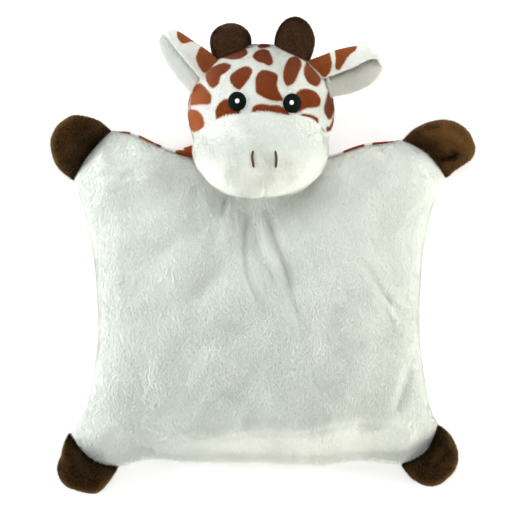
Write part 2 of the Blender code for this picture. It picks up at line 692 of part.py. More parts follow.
def build_horn(side, frame, form):
    """A round stuffed horn whose cover and filling are cut to the crown that they stand on."""
    across, up, height_share, lean = horn_shares[side]
    direction = np.array((across * SKULL_HALF_WIDTH, up * SKULL_TOP_LENGTH + HEAD_CORE_BELOW_SKULL,
                          -HEAD_CORE_BEFORE_SKULL))
    base = head_points(direction / np.linalg.norm(direction))
    axis = Vector((lean, 1.0, horn_tilt_share))
    height = HORN_HEIGHT * height_share
    root = HORN_RADIUS * horn_root_share
    profile = dome_profile(HORN_RADIUS, height, HORN_SHOULDER_HEIGHT, root, HORN_ROOT_DEPTH)
    cover = turned(side + "_horn_cover", profile, "dark brown plush", frame)
    cloth = cover.modifiers.new("cloth thickness", "SOLIDIFY")
    cloth.thickness = PLUSH
    cloth.offset = -1.0
    inner = PLUSH + FILL_GAP
    profile = dome_profile(HORN_RADIUS - inner, height - inner, HORN_SHOULDER_HEIGHT, root - inner,
                           HORN_ROOT_DEPTH)
    filling = turned(side + "_horn_filling", profile + [(0.0, -HORN_ROOT_DEPTH)], "polyester filling", frame)
    for obj in (cover, filling):
        obj.location = base - NECK
        obj.rotation_euler = axis.to_track_quat("Z", "X").to_euler()
        cut(obj, form)


def ear_grid(length_share, upper_side):
    """The ear's middle surface in its hinge frame: a blunt leaf whose upper edge turns over forward.

    The cloth's slope across the ear comes first. It starts below 0, which makes the trough, and
    turns through the fold's angle near the upper edge. Summed up, it gives a curve, which is
    scaled to the leaf's width. The trough's floor lies on the hinge frame's plane.
    """
    out = np.linspace(0.0, 1.0, EAR_ROWS + 1)[:, None]
    along = np.linspace(0.0, 1.0, EAR_COLUMNS * CURVE_STEPS + 1)[None, :]
    swell = smooth_step(0.0, ear_swell_share, out)
    half_width = EAR_ROOT_HALF_WIDTH + (EAR_HALF_WIDTH - EAR_ROOT_HALF_WIDTH) * swell
    half_width = half_width * np.sqrt(1.0 - ear_taper_share * out ** 2)
    tip, lessened = ear_tip_fold_shares
    opening = smooth_step(*ear_open_shares, out) * (1.0 - lessened * smooth_step(tip, 1.0, out))
    trough = 1.0 - smooth_step(0.0, ear_lip_shares[0], along)
    slope = opening * (EAR_FOLD_ANGLE * smooth_step(*ear_lip_shares, along) - EAR_TROUGH_ANGLE * trough)
    steps = np.stack((np.cos(np.radians(slope)), np.sin(np.radians(slope))), axis=-1)
    curve = np.cumsum((steps[:, 1:] + steps[:, :-1]) / 2.0, axis=1)
    curve = np.concatenate((np.zeros_like(curve[:, :1]), curve), axis=1)
    x, z = np.moveaxis(curve, -1, 0)
    scale = 2.0 * half_width / x.max(axis=1, keepdims=True)
    x = (x * scale - half_width)[:, ::CURVE_STEPS]
    z = ((z - z.min(axis=1, keepdims=True)) * scale)[:, ::CURVE_STEPS]
    if upper_side < 0:
        x, z = -x[:, ::-1], z[:, ::-1]
    reach = EAR_LENGTH * length_share * out * np.sqrt(1.0 - ear_tip_share * (x / half_width) ** 2)
    return np.stack((x, EAR_SEAM_RADIUS + SEAT_GAP + reach, z), axis=-1)


def grid_normals(points):
    """Unit normals of a grid: the steps along its columns crossed with those along its rows."""
    normals = np.cross(np.gradient(points, axis=1), np.gradient(points, axis=0))
    return normals / np.linalg.norm(normals, axis=-1, keepdims=True)


def build_ear(side, head_frame):
    """An ear of two cloths, spotted behind and white in front, that folds on its root seam."""
    root, way, length_share, upper_side = ear_shares[side]
    direction = np.array(root) / np.linalg.norm(root)
    point = head_points(direction)
    normal = surface_normal(point)
    origin = point + normal * (EAR_SEAM_RADIUS + SEAT_GAP)
    along = np.cross(normal, (0.0, 0.0, 1.0))
    frame = hinge_frame(side + "_ear_hinge", origin, along, normal, head_frame)
    way = np.array(way) / np.linalg.norm(way)
    local = frame.matrix_world.to_3x3().transposed() @ Vector(way)
    points = ear_grid(length_share, upper_side)
    reach = points[..., 1:2]
    sheared = points + reach * np.array((local.x / local.y, 0.0, local.z / local.y))
    half_gap = grid_normals(sheared) * SEAM_GAP / 2.0
    cloth_shell(side + "_ear_inner_panel", sheared + half_gap, EAR_CLOTH, 1.0, "white plush", frame,
                split=True)
    cloth_shell(side + "_ear_outer_panel", sheared - half_gap, EAR_CLOTH, -1.0, "spotted plush", frame,
                split=True)
    seam_roll(side + "_ear_seam", EAR_SEAM_RADIUS, EAR_ROOT_HALF_WIDTH, "white thread", frame)


def disc(name, radius, thickness, point, normal, finish, frame, segments=20):
    """A flat embroidered disc with its rim rounded off, lying on the face."""
    shape = bmesh.new()
    bmesh.ops.create_cone(shape, cap_ends=True, segments=segments, radius1=radius, radius2=radius,
                          depth=thickness)
    obj = add_bmesh(name, shape, finish, frame)
    obj.location = point + normal * thickness / 2.0 - NECK
    obj.rotation_euler = Vector(normal).to_track_quat("Z", "Y").to_euler()
    bevel = obj.modifiers.new("rounded rim", "BEVEL")
    bevel.width = thickness * eye_rim_share
    bevel.segments = 1
    bevel.limit_method = "ANGLE"


def build_eye(side, frame):
    """An embroidered eye with a small raised highlight."""
    point, normal = face_point(eye_shares[side])
    seat = point + normal * SEAT_GAP
    disc(side + "_eye", EYE_RADIUS, EYE_THICKNESS, seat, normal, "black thread", frame)
    top = seat + normal * (EYE_THICKNESS + SEAT_GAP)
    disc(side + "_eye_highlight", EYE_HIGHLIGHT_RADIUS, EYE_HIGHLIGHT_THICKNESS, top, normal,
         "white thread", frame, segments=14)


def build_nostril(side, frame):
    """A nostril stitch: a thin thread bar that follows the muzzle."""
    across, up = nostril_shares[side]
    length = NOSTRIL_LENGTH / SKULL_TOP_LENGTH
    places = [(across, up + length * (step / NOSTRIL_STEPS - 0.5)) for step in range(NOSTRIL_STEPS + 1)]
    curve = bpy.data.curves.new(side + "_nostril", "CURVE")
    curve.dimensions = "3D"
    curve.bevel_depth = NOSTRIL_RADIUS
    curve.bevel_resolution = 1
    curve.use_fill_caps = True
    spline = curve.splines.new("POLY")
    spline.points.add(len(places) - 1)
    for knot, place in zip(spline.points, places):
        point, normal = face_point(place)
        knot.co = (*(point + normal * (SEAT_GAP + NOSTRIL_RADIUS) - NECK), 1.0)
    curve.materials.append(material("brown thread"))
    obj = bpy.data.objects.new(side + "_nostril", curve)
    PARTS.objects.link(obj)
    obj.parent = frame


def main():
    """Build the cushion and its paws, then the head and what is sewn to it."""
    build_cushion()
    for corner in corner_seam_shares:
        build_paw(corner)
    head_frame = hinge_frame("neck_hinge", NECK, (1.0, 0.0, 0.0), (0.0, 1.0, 0.0))
    form, groove = build_head_cutters(head_frame)
    build_head(head_frame, groove)
    for side in ("left", "right"):
        build_horn(side, head_frame, form)
        build_ear(side, head_frame)
        build_eye(side, head_frame)
        build_nostril(side, head_frame)
    bpy.context.view_layer.update()


main()
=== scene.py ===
"""Looks of a giraffe comfort cushion: its plush, folds, spots and stitching, the light and the camera.

The toy lies on its back with its face up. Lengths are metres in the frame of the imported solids:
+Z is up, +Y runs towards the head, and the origin is on the table under the middle of the cushion.
Each cloth is a function of two parameters on a grid, worked out as whole arrays.
"""

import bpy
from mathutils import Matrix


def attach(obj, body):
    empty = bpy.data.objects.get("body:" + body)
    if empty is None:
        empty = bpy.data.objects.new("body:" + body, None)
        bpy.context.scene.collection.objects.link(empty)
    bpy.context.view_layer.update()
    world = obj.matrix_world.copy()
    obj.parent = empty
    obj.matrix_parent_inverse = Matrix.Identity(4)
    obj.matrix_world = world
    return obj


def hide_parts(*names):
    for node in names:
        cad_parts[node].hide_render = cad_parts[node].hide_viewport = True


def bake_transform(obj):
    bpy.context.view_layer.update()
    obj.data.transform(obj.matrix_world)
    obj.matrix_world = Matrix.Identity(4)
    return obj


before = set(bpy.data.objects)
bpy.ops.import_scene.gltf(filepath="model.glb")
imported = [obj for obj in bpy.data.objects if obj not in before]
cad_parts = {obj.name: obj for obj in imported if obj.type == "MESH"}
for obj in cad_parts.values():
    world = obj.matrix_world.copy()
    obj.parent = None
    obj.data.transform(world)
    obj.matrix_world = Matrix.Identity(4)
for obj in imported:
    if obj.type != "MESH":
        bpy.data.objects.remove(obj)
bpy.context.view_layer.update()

import logging
import math
from dataclasses import dataclass, field
from enum import Enum
from typing import Any, Callable, ClassVar, Sequence

import bmesh
import bpy
import numpy as np
from mathutils import Vector

LOG = logging.getLogger("giraffe_comfort_cushion")
Array = np.ndarray
Pair = tuple[float, float]
Triple = tuple[float, float, float]
Outline = tuple[Pair, ...]
Wave = tuple[float, float, int]

MM = 0.001
PHOTO_STEP = 0.00075  # metres on the toy for a pixel of the photograph
PHOTO_ORIGIN = (260.0, 305.0)  # the pixel that shows the frame's origin
TABLE_GAP = 0.0004  # height of the lowest cloth over the table
HALVINGS = 34  # steps in which a point on the head's surface is found
# Besides the spots, the paints hold painted light and shade: paler and darker tone, pale cream light and
# darker shade
PAINTS = ("spot", "tone_and_shading", "lit_cream", "painted_shade")  # values painted on the cloths, which the finishes read
# Large numbers that place the middles of a pattern's patches as if by chance
SCATTER = np.array(((12.99, 39.35, 73.16), (78.23, 11.14, 52.24), (37.72, 83.16, 9.15)))
SCATTER_SCALE = 43758.55


# Shapes on grids


def from_photo(places: Sequence[Sequence[float]]) -> Array:
    """Turn places read off the photograph into plan metres.

    Args:
        places: Pixels, across and down.

    Returns:
        X and Y: the pixel less the origin's pixel, times the size of a pixel, with Y turned up.
    """
    return (np.asarray(places, float) - PHOTO_ORIGIN) * (PHOTO_STEP, -PHOTO_STEP)


def smooth_step(low: float, high: float, value: Array) -> Array:
    """An even S from 0 at low to 1 at high: three times the share squared less twice its cube.

    Args:
        low: Where it leaves 0.
        high: Where it reaches 1.
        value: What is measured.

    Returns:
        The step at each value.
    """
    share = np.clip((value - low) / (high - low), 0.0, 1.0)
    return share * share * (3.0 - 2.0 * share)


def hump(distance: Array, width: float) -> Array:
    """1 at no distance, falling as e to the minus square of distance over width."""
    return np.exp(-((distance / width) ** 2.0))


def through(stations: Sequence[float], values: Sequence[float], at: Array) -> Array:
    """A cubic curve through values at stations, whose slope at each is that of its neighbours.

    Args:
        stations: Rising parameters.
        values: The value at each station.
        at: Where to read the curve.

    Returns:
        The curve's values: Hermite cubics between each two stations.
    """
    x, y = np.asarray(stations, float), np.asarray(values, float)
    slope = np.gradient(y, x)
    low = np.clip(np.searchsorted(x, at, side="right") - 1, 0, len(x) - 2)
    run = x[low + 1] - x[low]
    t = (at - x[low]) / run
    square, cube = t * t, t * t * t
    return ((2 * cube - 3 * square + 1) * y[low] + (cube - 2 * square + t) * run * slope[low]
            + (3 * square - 2 * cube) * y[low + 1] + (cube - square) * run * slope[low + 1])


def runs(line: Array) -> Array:
    """How far along a line each of its points is: the sum of the steps up to it."""
    return np.concatenate(((0.0,), np.cumsum(np.linalg.norm(np.diff(line, axis=0), axis=1))))


def curve_through(stations: Sequence[float], knots: Array, at: Array) -> Array:
    """The cubic curve through knots at stations, read at other stations, axis by axis."""
    return np.stack([through(stations, column, at) for column in knots.T], -1)


def raised(plan: Array, height: Array) -> Array:
    """Points over plan points, each at its own height."""
    return np.concatenate((plan, height[..., None]), -1)


def smooth_curve(knots: Array, cells: int) -> Array:
    """A curve through knots, as cells + 1 points spread evenly along its run.

    Args:
        knots: Points in order.
        cells: Number of equal steps.

    Returns:
        Points of a Catmull-Rom curve, read again at equal runs.
    """
    knots = np.asarray(knots, float)
    run = runs(knots)
    curve = curve_through(run, knots, np.linspace(0.0, run[-1], 12 * len(knots)))
    run = runs(curve)
    even = np.linspace(0.0, run[-1], cells + 1)
    return np.stack([np.interp(even, run, column) for column in curve.T], -1)


def wavy(points: Array, size: float, seed: int, waves: int = 20) -> Array:
    """Smooth noise about 0: the sum of plane waves of one length in random directions.

    Args:
        points: Places in space.
        size: Wave length in metres.
        seed: Picks the directions.
        waves: How many waves are added.

    Returns:
        Noise of about unit spread.
    """
    rng = np.random.default_rng(seed)
    way = rng.normal(size=(waves, points.shape[-1]))
    way *= (2.0 * math.pi / size) * rng.uniform(0.6, 1.4, (waves, 1)) / np.linalg.norm(way, axis=1)[:, None]
    phase = rng.uniform(0.0, 2.0 * math.pi, waves)
    total = np.zeros(points.shape[:-1])
    for wave, start in zip(way, phase):
        total += np.sin(points @ wave + start)
    return total * math.sqrt(2.0 / waves)


def slack(points: Array, waves: Sequence[Wave]) -> Array:
    """Unevenness of loose cloth: the sum of smooth noises, each a depth, a wave length and a seed."""
    return sum(depth * wavy(points, size, seed) for depth, size, seed in waves)


def line_distance(plan: Array, line: Array) -> tuple[Array, Array]:
    """Distance of plan points from a broken line, and how far along the line they are.

    Args:
        plan: X and Y of the points.
        line: Corners of the line.

    Returns:
        The distance from the nearest stretch, and the share of the line's run up to there.
    """
    lengths = np.linalg.norm(np.diff(line, axis=0), axis=1)
    before = runs(line)
    best, place = np.full(plan.shape[:-1], np.inf), np.zeros(plan.shape[:-1])
    for start, end, run, ahead in zip(line, line[1:], lengths, before):
        share = np.clip(((plan - start) @ (end - start)) / run ** 2, 0.0, 1.0)
        away = np.linalg.norm(plan - start - share[..., None] * (end - start), axis=-1)
        place = np.where(away < best, (ahead + share * run) / before[-1], place)
        best = np.minimum(best, away)
    return best, place


def patch_depth(plan: Array, outlines: Sequence[Array]) -> Array:
    """How deep plan points lie inside the nearest of several outlines, less than 0 outside.

    Args:
        plan: X and Y of the points.
        outlines: Corners of each closed outline.

    Returns:
        Distance from the outline's edge, with its sign from the crossings of a ray along X.
    """
    deepest = np.full(plan.shape[:-1], -1.0)
    for outline in outlines:
        closed = np.concatenate((outline, outline[:1]))
        away, _ = line_distance(plan, closed)
        inside = np.zeros(plan.shape[:-1], bool)
        for (x0, y0), (x1, y1) in zip(closed, closed[1:]):
            spans = (y0 > plan[..., 1]) != (y1 > plan[..., 1])
            inside ^= spans & (plan[..., 0] < x0 + (plan[..., 1] - y0) * (x1 - x0) / (y1 - y0 + 1e-12))
        deepest = np.maximum(deepest, np.where(inside, away, -away))
    return deepest


def rounded(places: Sequence[Sequence[float]]) -> Array:
    """A closed smooth outline through places read off the photograph.

    Args:
        places: Pixels round the outline, across and down.

    Returns:
        Plan points of a closed Catmull-Rom curve, four for each place.
    """
    knots = from_photo(places)
    ring = np.concatenate((knots[-2:], knots, knots[:3]))
    run = runs(ring)
    return curve_through(run, ring, np.linspace(run[2], run[-3], 4 * len(knots), endpoint=False))


def cell_depth(points: Array, size: float, gap: float, seed: int) -> Array:
    """Depth inside a pattern of closely set round-cornered patches.

    Args:
        points: Places in space.
        size: Spacing of the patches.
        gap: Width of the pale lines between them.
        seed: Picks the middles.

    Returns:
        Half of the second nearest middle's distance less the nearest's, less half the gap.
    """
    base = np.floor(points / size)
    nearest, second = np.full(points.shape[:-1], np.inf), np.full(points.shape[:-1], np.inf)
    for step in np.stack(np.meshgrid(*[(-1, 0, 1)] * 3, indexing="ij"), -1).reshape(-1, 3):
        cell = base + step
        mixed = np.sin(cell @ SCATTER + seed) * SCATTER_SCALE
        middle = (cell + 0.15 + 0.7 * (mixed - np.floor(mixed))) * size
        away = np.linalg.norm(points - middle, axis=-1)
        second = np.minimum(second, np.maximum(away, nearest))
        nearest = np.minimum(nearest, away)
    return (second - nearest - gap) / 2.0


def unit(vectors: Array) -> Array:
    """Vectors over their own lengths."""
    return vectors / np.maximum(np.linalg.norm(vectors, axis=-1, keepdims=True), 1e-12)


@dataclass
class Sheet:
    """A cloth's outer surface as a grid of points, rows by columns.

    Its outer side is the one that columns crossed with rows point to, or the other one where
    turned is set. Paint holds a value at each point under the name that the finishes read.
    """

    points: Array
    turned: bool = False
    paint: dict[str, Array] = field(default_factory=dict)

    def normals(self) -> Array:
        """Outward directions: the steps along the columns crossed with those along the rows.

        Returns:
            A unit vector at each point.
        """
        down, across = np.gradient(self.points, axis=0), np.gradient(self.points, axis=1)
        normal = unit(np.cross(across, down))
        return -normal if self.turned else normal

    def moved(self, distance: Array | float) -> Array:
        """Points moved outwards along the normals."""
        return self.points + self.normals() * np.asarray(distance)[..., None]

    def pressed(self, depth: Array | float) -> "Sheet":
        """The same sheet pressed inwards by a depth at each point."""
        return Sheet(self.moved(-np.asarray(depth)), self.turned, dict(self.paint))

    def quads(self) -> Array:
        """Corner numbers of each cell, wound round the outer side.

        Returns:
            Four point numbers a cell: a point, the next one, and the two of the next row.
        """
        rows, columns = self.points.shape[:2]
        first = (np.arange(rows - 1)[:, None] * columns + np.arange(columns - 1)).reshape(-1)
        cells = np.stack((first, first + 1, first + columns + 1, first + columns), -1)
        return cells[:, ::-1] if self.turned else cells

    def rim(self) -> Array:
        """Point numbers round the edge, with the cloth on the left seen from outside.

        Returns:
            Those of the first row, the last column, the last row and the first column in turn.
        """
        rows, columns = self.points.shape[:2]
        index = np.arange(rows * columns).reshape(rows, columns)
        loop = np.concatenate((index[0, :-1], index[:-1, -1], index[-1, :0:-1], index[:0:-1, 0]))
        return loop[::-1] if self.turned else loop


class Attachment:
    """How a piece follows the moving bodies."""

    def attach(self, obj: bpy.types.Object) -> None:
        """Fix the object to its body or bodies."""
        raise NotImplementedError


@dataclass(frozen=True)
class Riding(Attachment):
    """A piece that moves with one body."""

    body: str

    def attach(self, obj: bpy.types.Object) -> None:
        """Let the object ride on the body."""
        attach(obj, self.body)


@dataclass(frozen=True)
class Bending(Attachment):
    """Cloth that lies between two bodies, from a start to an end; it keeps its place in the toy's frame."""

    first: str
    second: str
    start: Triple
    end: Triple

    def attach(self, obj: bpy.types.Object) -> None:
        """Bake the object's place into its mesh."""
        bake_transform(obj)


def placed(name: str, data: bpy.types.ID) -> bpy.types.Object:
    """A new object in the scene.

    Args:
        name: Its name.
        data: Its mesh, lamp or camera.

    Returns:
        The object, at the origin.
    """
    obj = bpy.data.objects.new(name, data)
    bpy.context.scene.collection.objects.link(obj)
    return obj


# Finishes


def tint(colour: Sequence[float], share: float = 1.0) -> tuple[float, float, float, float]:
    """A colour times a share, opaque."""
    return (colour[0] * share, colour[1] * share, colour[2] * share, 1.0)


class Shade:
    """A number's socket in a node tree, on which arithmetic adds Math nodes."""

    def __init__(self, nodes: "Nodes", socket: bpy.types.NodeSocket) -> None:
        """Keep the socket and the tree that it belongs to."""
        self.nodes, self.socket = nodes, socket

    def __add__(self, other: "Shade | float") -> "Shade":
        """This plus the other."""
        return self.nodes.math("ADD", self, other)

    def __sub__(self, other: "Shade | float") -> "Shade":
        """This less the other."""
        return self.nodes.math("SUBTRACT", self, other)

    def __rsub__(self, other: "Shade | float") -> "Shade":
        """The other less this."""
        return self.nodes.math("SUBTRACT", other, self)

    def __mul__(self, other: "Shade | float") -> "Shade":
        """This times the other."""
        return self.nodes.math("MULTIPLY", self, other)

    def __truediv__(self, other: "Shade | float") -> "Shade":
        """This over the other."""
        return self.nodes.math("DIVIDE", self, other)

    __radd__ = __add__
    __rmul__ = __mul__

    def clamped(self) -> "Shade":
        """This held between 0 and 1."""
        return self.nodes.math("MAXIMUM", self.nodes.math("MINIMUM", self, 1.0), 0.0)

    def step(self, low: float, high: float) -> "Shade":
        """A straight climb from 0 at low to 1 at high, flat outside."""
        return ((self - low) / (high - low)).clamped()


class Nodes:
    """The node tree of one material or of the world."""

    def __init__(self, owner: bpy.types.Material | bpy.types.World) -> None:
        """Turn the owner's nodes on and keep its tree."""
        owner.use_nodes = True
        self.owner, self.tree = owner, owner.node_tree

    @property
    def shader(self) -> bpy.types.Node:
        """The Principled shader of a material."""
        return self.tree.nodes["Principled BSDF"]

    def node(self, kind: str, settings: dict[str, Any], sockets: dict[str, Any]) -> bpy.types.Node:
        """Add a node.

        Args:
            kind: The node's type without its ShaderNode prefix.
            settings: Its own properties, set first.
            sockets: Values or links of its inputs, by name or number.

        Returns:
            The new node.
        """
        made = self.tree.nodes.new("ShaderNode" + kind)
        for key, value in settings.items():
            setattr(made, key, value)
        for key, value in sockets.items():
            self.feed(made.inputs[key], value)
        return made

    def feed(self, target: bpy.types.NodeSocket, value: Any) -> None:
        """Link or set one input.

        Args:
            target: The input.
            value: A Shade or a socket to link, or a plain value to set.
        """
        if isinstance(value, Shade):
            value = value.socket
        if isinstance(value, bpy.types.NodeSocket):
            self.tree.links.new(value, target)
        else:
            target.default_value = value

    def math(self, operation: str, *values: Any) -> Shade:
        """A Math node on one to three values."""
        made = self.node("Math", {"operation": operation}, dict(enumerate(values)))
        return Shade(self, made.outputs[0])

    def paint(self, name: str) -> Shade:
        """The value painted on the cloth under a name."""
        return Shade(self, self.node("Attribute", {"attribute_name": name}, {}).outputs["Fac"])

    def place(self) -> bpy.types.NodeSocket:
        """The point's own place in the object."""
        return self.node("TexCoord", {}, {}).outputs["Object"]

    def noise(self, size: float, detail: float = 2.0, roughness: float = 0.5,
              stretch: float = 1.0) -> Shade:
        """Noise between 0 and 1 on the piece's own places.

        Args:
            size: About how large a feature is, in metres.
            detail: How many finer noises are added.
            roughness: How strong each of them is against the one before.
            stretch: How many times longer a feature is along Y.

        Returns:
            The noise.
        """
        place = self.place()
        if stretch != 1.0:
            scale = (1.0, 1.0 / stretch, 1.0)
            place = self.node("Mapping", {}, {"Vector": place, "Scale": scale}).outputs["Vector"]
        sockets = {"Vector": place, "Scale": 1.0 / size, "Detail": detail, "Roughness": roughness}
        return Shade(self, self.node("TexNoise", {}, sockets).outputs["Fac"])

    def mix(self, factor: Any, first: Any, second: Any) -> bpy.types.NodeSocket:
        """A colour between two.

        Args:
            factor: 0 for the first colour and 1 for the second one, a value or a link.
            first: A colour, a value or a link.
            second: The same.

        Returns:
            The mixed colour's socket.
        """
        made = self.tree.nodes.new("ShaderNodeMix")
        made.data_type = "RGBA"
        for place, value in ((0, factor), (6, first), (7, second)):
            self.feed(made.inputs[place], value)
        return made.outputs[2]

    def over(self, name: str, below: Any, colour: Triple) -> bpy.types.NodeSocket:
        """A colour laid over the one below as far as the paint under a name says."""
        return self.mix(self.paint(name).clamped(), below, tint(colour))

    def bump(self, height: Shade, distance: float, strength: float) -> None:
        """Raise the surface's shading by a height in units of a distance."""
        made = self.node("Bump", {}, {"Height": height, "Distance": distance, "Strength": strength})
        self.feed(self.shader.inputs["Normal"], made.outputs["Normal"])

    def finished(self, colour: Any, roughness: Any, **constants: Any) -> bpy.types.Material:
        """Feed the shader.

        Args:
            colour: Base colour, a value or a link.
            roughness: The same for the roughness.
            constants: Values of other inputs, with underscores for the spaces in their names.

        Returns:
            The material.
        """
        self.feed(self.shader.inputs["Base Color"], colour)
        self.feed(self.shader.inputs["Roughness"], roughness)
        for name, value in constants.items():
            self.shader.inputs[name.replace("_", " ")].default_value = value
        return self.owner


@dataclass(frozen=True)
class PlushFinish:
    """Short cut pile of one colour, with painted shade between the tufts and paler tips."""

    name: str
    slot: str
    colour: Triple
    shadow_share: float = 0.94
    tip_share: float = 1.04
    tuft_size: float = 0.0012
    stretch: float = 6.0
    bump_depth: float = 0.0005
    sheen: float = 0.9
    sheen_tint: Triple = (1.0, 1.0, 1.0)
    blade_share: float = 0.25
    steps: Pair = (0.30, 0.70)
    # Colour of the painted warm light, laid where the cloth is painted paler
    lit_cream: Triple = (0.95, 0.955, 0.91)
    # Colour of the painted shade
    shade_colour: Triple = (0.30, 0.20, 0.10)

    def material(self) -> bpy.types.Material:
        """The shader: a coarse and a fine noise mix the colour and raise the surface, under painted cream
        light and painted shade.

        Returns:
            The material.
        """
        nodes = Nodes(bpy.data.materials.new(self.name))
        coarse = nodes.noise(5.0 * self.tuft_size, 3.0)
        fine = nodes.noise(self.tuft_size, 2.0, 0.6, self.stretch).step(*self.steps)
        # The painted tone brings painted light and shade into the mix of the pile's colours
        tone_and_shading = (0.55 * fine + 0.45 * coarse + self.blade_share * nodes.paint("tone_and_shading")).clamped()
        colour = nodes.mix(tone_and_shading, tint(self.colour, self.shadow_share), tint(self.colour, self.tip_share))
        # Painted warm light, then painted shade, over the pile's colour
        colour = nodes.over("lit_cream", colour, self.lit_cream)
        colour = nodes.over("painted_shade", colour, self.shade_colour)
        nodes.bump(0.85 * fine + 0.15 * coarse, self.bump_depth, 0.5)
        return nodes.finished(colour, 0.94 - 0.08 * fine, Sheen_Weight=self.sheen, Sheen_Roughness=0.35,
                              Sheen_Tint=tint(self.sheen_tint), Specular_IOR_Level=0.1)


@dataclass(frozen=True)
class SpottedPlushFinish:
    """White pile printed with rust patches, each with a slightly ragged edge and a faint blush."""

    name: str = "spotted plush"
    slot: str = "spotted_plush"
    white: Triple = (0.84, 0.865, 0.835)
    blush: Triple = (0.80, 0.70, 0.60)
    rust: Triple = (0.330, 0.072, 0.014)
    deep_rust: Triple = (0.200, 0.040, 0.007)
    # Rust under painted light, where the patches are painted paler
    lit_rust: Triple = (0.560, 0.170, 0.065)
    # Colour of the painted shade
    shade_colour: Triple = (0.30, 0.20, 0.10)

    def material(self) -> bpy.types.Material:
        """The shader: the painted depth inside a patch, ragged by noise, picks among the colours.

        Returns:
            The material.
        """
        nodes = Nodes(bpy.data.materials.new(self.name))
        coarse, fine = nodes.noise(0.008, 3.0), nodes.noise(0.0014, 2.0, 0.6).step(0.30, 0.70)
        depth = nodes.paint("spot") + 0.45 * (fine - 0.5) + 0.5 * (coarse - 0.5)
        # The painted tone brings painted light into the mix
        tone_and_shading = (0.5 * fine + 0.5 * coarse + 0.3 * nodes.paint("tone_and_shading")).clamped()
        ground = nodes.mix(tone_and_shading, tint(self.white, 0.94), tint(self.white, 1.04))
        rust = nodes.mix(tone_and_shading, tint(self.deep_rust), tint(self.rust))
        # Painted light makes the rust paler
        rust = nodes.over("lit_cream", rust, self.lit_rust)
        edge = nodes.mix(0.7 * depth.step(-1.1, -0.4), ground, tint(self.blush))
        colour = nodes.mix(depth.step(-0.45, 0.30), edge, rust)
        # Painted shade over everything
        colour = nodes.over("painted_shade", colour, self.shade_colour)
        nodes.bump(0.7 * fine + 0.3 * coarse, 0.0006, 0.5)
        return nodes.finished(colour, 0.94 - 0.08 * fine, Sheen_Weight=0.35, Sheen_Roughness=0.35,
                              Sheen_Tint=(1.0, 0.80, 0.68, 1.0), Specular_IOR_Level=0.05)


@dataclass(frozen=True)
class ThreadFinish:
    """Embroidery or sewing thread: a soft gloss over fine strands."""

    name: str
    slot: str
    colour: Triple
    gloss: float = 0.45
    shine: float = 0.4

    def material(self) -> bpy.types.Material:
        """The shader: fine noise varies the colour and the gloss, and raises the strands.

        Returns:
            The material.
        """
        nodes = Nodes(bpy.data.materials.new(self.name))
        strand = nodes.noise(0.0003, 2.0, 0.7)
        colour = nodes.mix(strand, tint(self.colour, 0.7), tint(self.colour, 1.3))
        nodes.bump(strand, 0.0001, 0.5)
        return nodes.finished(colour, self.gloss + 0.2 * strand, Specular_IOR_Level=self.shine)


@dataclass(frozen=True)
class FillingFinish:
    """Loose white polyester fibre."""

    name: str = "polyester filling"
    slot: str = "filling"
    colour: Triple = (0.88, 0.88, 0.86)

    def material(self) -> bpy.types.Material:
        """The shader: fibres as fine noise in the colour and the relief.

        Returns:
            The material.
        """
        nodes = Nodes(bpy.data.materials.new(self.name))
        fibre = nodes.noise(0.0008, 4.0, 0.7)
        colour = nodes.mix(fibre, tint(self.colour, 0.8), tint(self.colour))
        nodes.bump(fibre, 0.0008, 0.8)
        return nodes.finished(colour, 0.85 + 0.1 * fibre, Specular_IOR_Level=0.3)


class Finishes(Enum):
    """The cloths, threads and fibre of this toy."""

    WHITE = PlushFinish("white plush", "white_plush", (0.83, 0.865, 0.825))
    SPOTTED = SpottedPlushFinish()
    BROWN = PlushFinish("brown plush", "brown_plush", (0.050, 0.0245, 0.0072), shadow_share=0.20,
                        tip_share=4.0, tuft_size=0.0018, stretch=1.0, bump_depth=0.0009, sheen=0.45,
                        sheen_tint=(0.80, 0.52, 0.26), blade_share=0.8, steps=(0.40, 0.60),
                        shade_colour=(0.0040, 0.0018, 0.0004))
    DARK = PlushFinish("dark brown plush", "dark_brown_plush", (0.052, 0.0235, 0.0110), shadow_share=0.55,
                       tip_share=2.0, tuft_size=0.0018, stretch=1.0, bump_depth=0.0009, sheen=0.20,
                       sheen_tint=(0.50, 0.36, 0.26), blade_share=0.6, steps=(0.40, 0.60))
    FILLING = FillingFinish()
    BLACK_THREAD = ThreadFinish("black thread", "black_thread", (0.0030, 0.0065, 0.0050),
                                gloss=0.42, shine=0.03)
    WHITE_THREAD = ThreadFinish("white thread", "white_thread", (0.80, 0.80, 0.78))
    BROWN_THREAD = ThreadFinish("brown thread", "brown_thread", (0.095, 0.060, 0.024), gloss=0.6, shine=0.15)

    def made(self) -> bpy.types.Material:
        """This finish's material, made once."""
        found = bpy.data.materials.get(self.value.name)
        return found if found is not None else self.value.material()


